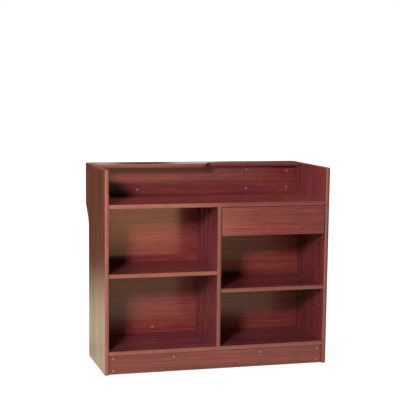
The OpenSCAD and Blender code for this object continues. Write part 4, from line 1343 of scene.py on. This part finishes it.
def paint_room(studio):
    """A faint even light, white to the camera, and in gloss a dim room with bright rear walls."""
    world = bpy.data.worlds.new("studio")
    bpy.context.scene.world = world
    world.use_nodes = True
    w = Nodes(world.node_tree)
    room = w.tree.nodes["Background"]
    room.inputs["Color"].default_value = WHITE
    room.inputs["Strength"].default_value = studio.ambient
    path = w.add("ShaderNodeLightPath").outputs
    x, y, _ = w.split(w.add("ShaderNodeTexCoord").outputs["Generated"])

    dim, bright = Vector(studio.back_sheen), Vector(studio.back_glow)
    stops = []
    for start, end, share in REAR_WALLS:
        ends = ((start - WALL_FADE, 0), (start, share), (end, share), (end + WALL_FADE, 0))
        for place, level in ends:
            position = (place - REAR_FROM) / (REAR_TO - REAR_FROM)
            stops.append((position, rgba(dim.lerp(bright, level))))
    rear = w.ramp(w.spread(x, 0.0, 1.0, REAR_FROM, REAR_TO), stops)
    mirrored = w.mix(w.fade(y, *ROOM_FRONT), rear, rgba(studio.front_sheen))
    seen = w.mix(path["Is Glossy Ray"], WHITE, mirrored)
    backdrop = w.add("ShaderNodeBackground", {"Color": seen, "Strength": 1.0})
    shown = w.shown(path, path["Is Camera Ray"])
    surface = w.blend(shown, room.outputs[0], backdrop.outputs[0])
    w.feed(w.tree.nodes["World Output"].inputs["Surface"], surface)


def set_camera(studio):
    """The camera where the picture was taken, with its turn, tilt, roll and rise."""
    clear()
    bpy.ops.object.camera_add()
    camera = bpy.context.object
    camera.name = "camera"
    ahead = Vector((
        math.sin(studio.yaw) * math.cos(studio.pitch),
        math.cos(studio.yaw) * math.cos(studio.pitch),
        -math.sin(studio.pitch),
    ))
    level = Vector((math.cos(studio.yaw), -math.sin(studio.yaw), 0))
    above = level.cross(ahead)
    right = math.cos(studio.roll) * level + math.sin(studio.roll) * above
    up = -math.sin(studio.roll) * level + math.cos(studio.roll) * above
    turn = Matrix((right, up, -ahead)).transposed().to_4x4()
    camera.matrix_world = Matrix.Translation(Vector(studio.eye)) @ turn
    camera.data.sensor_fit = "HORIZONTAL"
    camera.data.angle = studio.angle
    camera.data.shift_y = studio.rise
    camera.data.clip_start = 0.05
    camera.data.clip_end = 200
    bpy.context.scene.camera = camera


class COUNTER_OT_studio(bpy.types.Operator):
    """Makes the pale floor, the lights, the white background and the camera"""

    bl_idname = "counter.studio"
    bl_label = "Studio"

    def execute(self, context):
        _, _, studio = settings()
        bpy.context.scene.view_settings.view_transform = "Standard"
        lay_floor(studio)
        hang_lamps(studio)
        paint_room(studio)
        set_camera(studio)
        return {"FINISHED"}


class COUNTER_PT_panel(bpy.types.Panel):
    """Lists the finishes, the fittings and the studio of the counter"""

    bl_idname = "COUNTER_PT_panel"
    bl_label = "Shop Counter"
    bl_space_type = "VIEW_3D"
    bl_region_type = "UI"
    bl_category = "Counter"

    def draw(self, context):
        for kind in OPERATORS:
            self.layout.operator(kind.bl_idname)
        for group in settings():
            box = self.layout.box()
            for key in group.__annotations__:
                box.prop(group, key)


OPERATORS = (
    COUNTER_OT_laminate, COUNTER_OT_mouldings, COUNTER_OT_drawer_box, COUNTER_OT_runners,
    COUNTER_OT_joinery, COUNTER_OT_cover_caps, COUNTER_OT_screws, COUNTER_OT_rollers,
    COUNTER_OT_axles, COUNTER_OT_shelf_pins, COUNTER_OT_floor_glides, COUNTER_OT_studio,
)
GROUPS = (CounterLook, CounterFittings, CounterStudio)


def register():
    for kind in GROUPS + OPERATORS + (COUNTER_PT_panel,):
        bpy.utils.register_class(kind)
    bpy.types.Scene.counter_look = PointerProperty(type=CounterLook)
    bpy.types.Scene.counter_fittings = PointerProperty(type=CounterFittings)
    bpy.types.Scene.counter_studio = PointerProperty(type=CounterStudio)


def unregister():
    del bpy.types.Scene.counter_studio
    del bpy.types.Scene.counter_fittings
    del bpy.types.Scene.counter_look
    for kind in reversed(GROUPS + OPERATORS + (COUNTER_PT_panel,)):
        bpy.utils.unregister_class(kind)


def main():
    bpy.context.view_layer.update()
    register()
    bpy.ops.counter.laminate()
    bpy.ops.counter.mouldings()
    bpy.ops.counter.drawer_box()
    bpy.ops.counter.runners()
    bpy.ops.counter.joinery()
    bpy.ops.counter.cover_caps()
    bpy.ops.counter.screws()
    bpy.ops.counter.rollers()
    bpy.ops.counter.axles()
    bpy.ops.counter.shelf_pins()
    bpy.ops.counter.floor_glides()
    bpy.ops.counter.studio()


if __name__ == "__main__":
    main()
